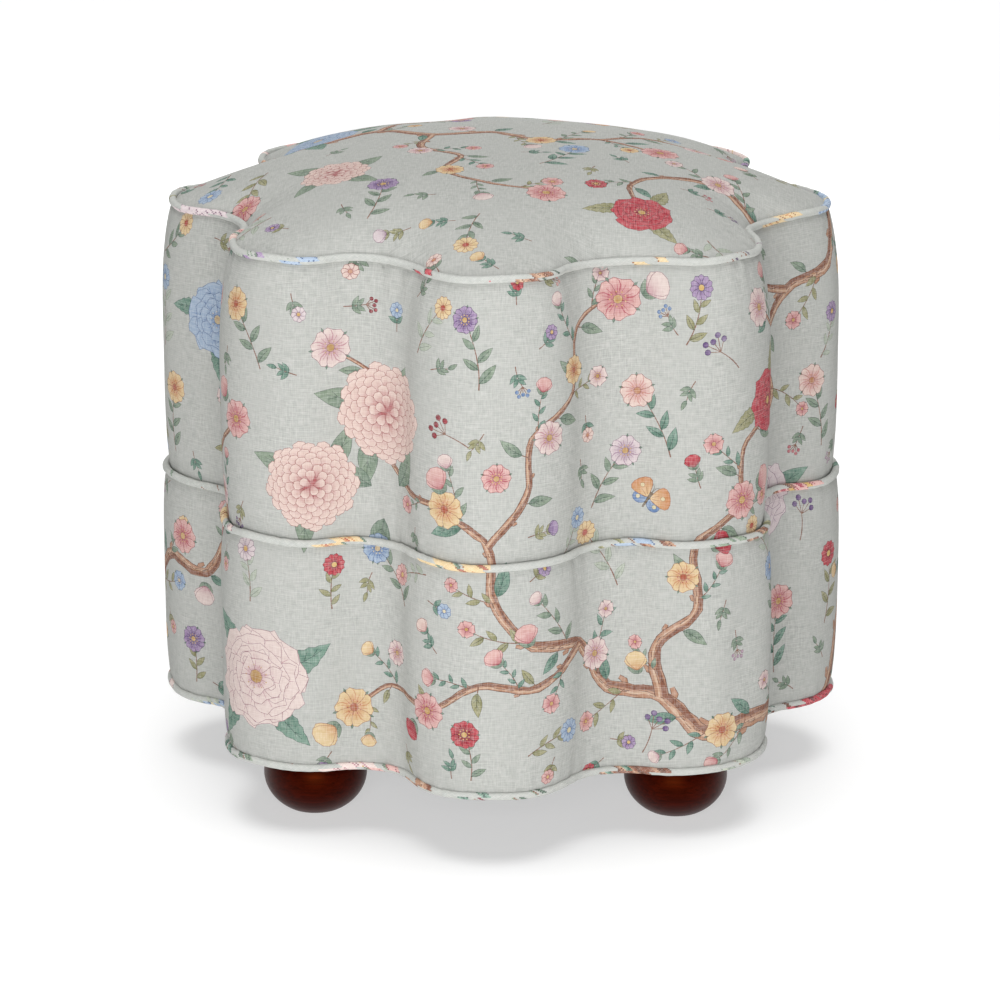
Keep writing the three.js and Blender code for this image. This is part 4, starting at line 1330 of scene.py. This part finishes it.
def printed_linen(name, dark, light, even):
    """Slubbed linen, plain woven and pigment printed: a matt, dry face with long thick and thin threads"""
    material, tree, shader = finish(name, roughness=0.95, specular_ior_level=0.15)
    cloth = node(tree, "ShaderNodeUVMap", uv_map="cloth").outputs["UV"]
    threads = []
    for across, up in ((SLUB, THREAD), (THREAD, SLUB * 0.8)):
        stretched = node(tree, "ShaderNodeMapping", {"Vector": cloth, "Scale": (1 / across, 1 / up, 1)}).outputs[0]
        spun_yarn = {"Vector": stretched, "Scale": 1.0, "Detail": 2.5, "Roughness": 0.6}
        threads.append(node(tree, "ShaderNodeTexNoise", spun_yarn).outputs["Fac"])
    weft, warp = threads
    weave = node(tree, "ShaderNodeMath", {0: weft, 1: warp}, operation="ADD").outputs[0]
    bands = {"Vector": cloth, "Scale": BAND / THREAD, "Distortion": 2.0, "Detail": 1.0, "Detail Scale": 0.3}
    for way, height in (("Y", 0.16), ("X", 0.1)):
        lines = node(tree, "ShaderNodeTexWave", bands, bands_direction=way).outputs["Fac"]
        weave = node(tree, "ShaderNodeMath", {0: lines, 1: height, 2: weave}, operation="MULTIPLY_ADD").outputs[0]
    mottle = node(tree, "ShaderNodeTexNoise", {"Vector": cloth, "Scale": MOTTLE, "Detail": 2.0}).outputs["Fac"]
    depth = node(tree, "ShaderNodeMapRange", {"Value": weave, 1: 0.78, 2: 1.48, 3: 0.0, 4: 1.0}).outputs[0]
    ground = node(tree, "ShaderNodeMix", {0: depth, 6: paint(dark), 7: paint(light)}, data_type="RGBA").outputs[2]
    ground = node(tree, "ShaderNodeMix", {0: mottle, 6: ground, 7: paint(even)}, data_type="RGBA").outputs[2]
    dyed = node(tree, "ShaderNodeAttribute", attribute_name="print")
    shade = node(tree, "ShaderNodeMapRange", {"Value": weave, 1: 0.8, 2: 1.45, 3: 0.8, 4: 1.12}).outputs[0]
    both = {0: 1.0, 6: dyed.outputs["Color"], 7: shade}
    dye = node(tree, "ShaderNodeMix", both, data_type="RGBA", blend_type="MULTIPLY").outputs[2]
    # the raised threads carry a little less of the dye
    held = node(tree, "ShaderNodeMapRange", {"Value": weave, 1: 0.95, 2: 1.55, 3: 0.97, 4: 0.55}).outputs[0]
    cover = node(tree, "ShaderNodeMath", {0: dyed.outputs["Alpha"], 1: held}, operation="MULTIPLY").outputs[0]
    face = node(tree, "ShaderNodeMix", {0: cover, 6: ground, 7: dye}, data_type="RGBA").outputs[2]
    tree.links.new(face, shader.inputs["Base Color"])
    bump = node(tree, "ShaderNodeBump", {"Height": weave, "Strength": 0.55, "Distance": RELIEF}).outputs[0]
    tree.links.new(bump, shader.inputs["Normal"])
    return material


def faced(tree, shader, pattern, ends, dark, light, strength, relief):
    """Colours a material from dark to light by a pattern, between its two ends, and raises it likewise"""
    sharp = node(tree, "ShaderNodeMapRange", {"Value": pattern, 1: ends[0], 2: ends[1], 3: 0.0, 4: 1.0}).outputs[0]
    face = node(tree, "ShaderNodeMix", {0: sharp, 6: paint(dark), 7: paint(light)}, data_type="RGBA").outputs[2]
    tree.links.new(face, shader.inputs["Base Color"])
    bump = node(tree, "ShaderNodeBump", {"Height": pattern, "Strength": strength, "Distance": relief}).outputs[0]
    tree.links.new(bump, shader.inputs["Normal"])


def wood(name, dark, light, line, length, lengthways, roughness, **values):
    """Grain that runs along one axis of the piece, with so many millimetres from line to line"""
    material, tree, shader = finish(name, roughness=roughness, **values)
    place = node(tree, "ShaderNodeTexCoord").outputs["Object"]
    scale = [1 / length if axis == lengthways else 1 / (line * MM) for axis in "XYZ"]
    stretched = node(tree, "ShaderNodeMapping", {"Vector": place, "Scale": scale}).outputs[0]
    figure = {"Vector": stretched, "Scale": 1.0, "Detail": 4.0, "Roughness": 0.62, "Distortion": 0.6}
    grain = node(tree, "ShaderNodeTexNoise", figure).outputs["Fac"]
    faced(tree, shader, grain, (0.34, 0.66), dark, light, 0.12, PORE)
    gloss = node(tree, "ShaderNodeMapRange", {"Value": grain, 3: roughness + 0.08, 4: roughness - 0.04}).outputs[0]
    tree.links.new(gloss, shader.inputs["Roughness"])
    return material


def felted(name, dark, light, size, strength, roughness, detail=4.0):
    """A fibrous or porous stuff with one size of grain, in metres"""
    material, tree, shader = finish(name, roughness=roughness, sheen_weight=0.1)
    place = node(tree, "ShaderNodeTexCoord").outputs["Object"]
    fibres = {"Vector": place, "Scale": 1 / size, "Detail": detail, "Roughness": 0.65}
    grain = node(tree, "ShaderNodeTexNoise", fibres).outputs["Fac"]
    faced(tree, shader, grain, (0.35, 0.65), dark, light, strength, size)
    return material


def zinc_plate():
    """Bright zinc-plated steel, cold headed: a pale blue-grey metal with faint spangle and a soft gloss"""
    material, tree, shader = finish("zinc-plated steel", metallic=1.0, roughness=0.32)
    place = node(tree, "ShaderNodeTexCoord").outputs["Object"]
    spangle = node(tree, "ShaderNodeTexVoronoi", {"Vector": place, "Scale": 400.0}).outputs["Distance"]
    steel = {0: spangle, 6: paint("#a9b0b8"), 7: paint("#d2d6da")}
    face = node(tree, "ShaderNodeMix", steel, data_type="RGBA").outputs[2]
    tree.links.new(face, shader.inputs["Base Color"])
    gloss = node(tree, "ShaderNodeMapRange", {"Value": spangle, 3: 0.26, 4: 0.42}).outputs[0]
    tree.links.new(gloss, shader.inputs["Roughness"])
    return material


# Stained and lacquered hardwood, turned and sanded: nearly black red-brown with a warm glow where light gets in
mahogany = wood("mahogany-stained hardwood, satin lacquer", "#1e0201", "#360802", 2.2, 0.05, "X", 0.35,
                specular_ior_level=0.22, specular_tint=paint("#e0642a"))
# Birch plywood, peeled and sanded: pale, with long soft figure
plywood = wood("birch plywood, sanded", "#bd9668", "#dcc094", 5.0, 0.09, "X", 0.6)
# Planed pine: yellow, with clear darker lines along the post
pine = wood("pine, planed", "#c99a5e", "#e6cb98", 3.0, 0.12, "Z", 0.55)
# Upholsterer's board: pressed grey-brown paper, flat and dull
card = felted("pressed board", "#9c815c", "#bd9f76", 0.0012, 0.25, 0.9)
# Polyester wadding: white curled fibres with a soft, cloudy surface
wadding = felted("polyester wadding", "#dedfda", "#fafaf6", 0.004, 0.6, 1.0, 6.0)
# Polyurethane foam: cream, with open cells of about a millimetre
foam = felted("polyurethane foam", "#cdc49c", "#efe8ca", 0.0011, 0.7, 0.95, 1.0)
# Non-woven cambric: black, spun fibres that catch a little light
cambric = felted("non-woven cambric", "#100f0e", "#2e2b28", 0.0014, 0.35, 0.95)
linen = printed_linen("slubbed linen, pigment printed", "#91948f", "#c5c5c1", "#adaeaa")
# The same linen cut on the bias and drawn tight over the piping cord, with a paler ground: a painted highlight for
# the light that the cord's rounded top catches
piping_linen_painted_highlight = printed_linen("slubbed linen on the bias, painted paler highlight", "#a1a5a0", "#c9cac5", "#babbb7")
zinc = zinc_plate()


def cover_pieces():
    """The printed cloth: one repeat for both walls, cut in two at the middle seam, and the seat's own panel"""
    wall_shapes = wall_print(LOWER_WALL + UPPER_WALL)
    low = complex(-REPEAT / 2, 0)
    walls = (
        ("lower_border", "lower_border_cover", lower_wall, LOWER_WALL, 0, 0.7),
        ("upper_border", "upper_border_cover", upper_wall, UPPER_WALL, -1j * LOWER_WALL, 0.9),
    )
    for name, cad, wall, height, shift, fill in walls:
        shapes = shifted(wall_shapes, low, complex(REPEAT / 2, height), shift)
        cover = settle(border_cover(name, wall, height, shapes), linen, cad)
    settle(top_panel(top_print()), linen, "top_cover")
    for seam in SEAMS:
        # the piping gets the paler linen: a painted highlight along the cords
        settle(piping(seam, wall_shapes), piping_linen_painted_highlight, seam + "_piping")


def padding_pieces():
    """The soft layers under the covers, and the dust cover"""
    seat_top = node_box("seat_board")[1][2] - MIDDLE_SEAM
    lower = wall_padding("lower_pad", lower_wall, SEAM_CLEAR, LOWER_WALL - SEAM_CLEAR, LOWER_WADDING)
    upper = wall_padding("upper_pad", upper_wall, CLEAR, seat_top, UPPER_FOAM)
    wrap, block = seat_padding()
    for piece, stuff, slot, cad, fill in (
        (lower, wadding, "wadding", "lower_wall_wadding", 0.6),
        (upper, foam, "foam", "upper_wall_foam", 0.9),
        (wrap, wadding, "wadding", "seat_wadding", 0.7),
        (block, foam, "foam", "seat_foam", 1.0),
    ):
        settle(piece, stuff, cad)
    dust = settle(dust_sheet(), cambric, "dust_cover")
    area = plan_area(SEAM_CLEAR) * MM * MM


def plan_area(inset):
    """The area that the lobed outline surrounds"""
    at = plan(PAD_COLUMNS, inset)
    return 0.5 * float(np.sum((at.conj() * np.roll(at, -1)).imag))


def inner_frame():
    """The hidden nodes keep their CAD shapes and get the finishes of their stuff"""
    finishes = {"board": plywood, "card": card, "post": pine, "cleat": pine}
    finishes.update(dict.fromkeys(("screw", "bolt", "nut"), zinc))
    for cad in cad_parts:
        found = [finishes[word] for word in reversed(cad.split("_")) if word in finishes]
        if found:
            held = bpy.data.objects[cad].data.materials
            held.clear()
            held.append(found[0])


cover_pieces()
padding_pieces()
inner_frame()
turned_feet()

CAMERA_AWAY = 3131.2
CAMERA_UP = 1162.8
CAMERA_TURN = 0.0258
CAMERA_DIP = math.radians(17.17)
LENS = 155.97
SENSOR = 36.0
FLOOR_HALF = 6000.0
AIM = (0, 0, 0.25)
WHITE_BELOW, DIM_ABOVE = 0.07, 0.13  # where the walls' white ends: the sines of 4 and 7.5 degrees


def camera():
    data = bpy.data.cameras.new("camera")
    data.lens = LENS
    data.sensor_width = SENSOR
    data.clip_end = 100
    view = bpy.data.objects.new("camera", data)
    aside, back = CAMERA_AWAY * math.sin(CAMERA_TURN), CAMERA_AWAY * math.cos(CAMERA_TURN)
    view.location = (aside * MM, -back * MM, CAMERA_UP * MM)
    view.rotation_euler = (TURN / 4 - CAMERA_DIP, 0, CAMERA_TURN)
    bpy.context.collection.objects.link(view)
    bpy.context.scene.camera = view


def floor(glow):
    """A wide sheet of white background paper, 12 m each way, that shines a little, so its shadows stay pale"""
    corners = np.array([(x, y, 0.0) for x, y in ((-1, -1), (1, -1), (1, 1), (-1, 1))]) * FLOOR_HALF
    ground = new_piece("floor", corners, [(0, 1, 2, 3)])
    shine = {"emission_color": paint("#ffffff"), "emission_strength": glow}
    ground.data.materials.append(finish("studio floor", roughness=0.9, base_color=paint("#bcbcbc"), **shine)[0])


def overhead(strength, softness):
    """A broad even light from straight above"""
    data = bpy.data.lights.new("overhead", "SUN")
    data.energy = strength
    data.angle = math.radians(softness)
    bpy.context.collection.objects.link(bpy.data.objects.new("overhead", data))


def softbox(name, place, size, power):
    """A soft square lamp, near the tuffet, that faces its middle"""
    data = bpy.data.lights.new(name, "AREA")
    data.shape = "SQUARE"
    data.size = size
    data.energy = power
    lamp = bpy.data.objects.new(name, data)
    lamp.location = place
    lamp.rotation_euler = (Vector(AIM) - Vector(place)).to_track_quat("-Z", "Y").to_euler()
    bpy.context.collection.objects.link(lamp)


def studio(strength):
    """A dim room, white as far up as a low camera sees, that fades from 4 to 7.5 degrees above level"""
    world = bpy.data.worlds.new("studio")
    world.use_nodes = True
    tree = world.node_tree
    way = node(tree, "ShaderNodeTexCoord").outputs["Generated"]
    up = node(tree, "ShaderNodeSeparateXYZ", {0: way}).outputs["Z"]
    fade = {"Value": up, 1: WHITE_BELOW, 2: DIM_ABOVE, 3: 1.0, 4: strength}
    light = node(tree, "ShaderNodeMapRange", fade).outputs[0]
    tree.nodes["Background"].inputs["Color"].default_value = paint("#ffffff")
    tree.links.new(light, tree.nodes["Background"].inputs["Strength"])
    bpy.context.scene.world = world


camera()
floor(0.495)
studio(0.08)
overhead(2.95, 45)
softbox("key", (-0.04, -1.9, 0.42), 1.0, 24)
softbox("fill", (0.0, 2.0, 0.7), 1.2, 8)
bpy.context.scene.view_settings.view_transform = "Standard"
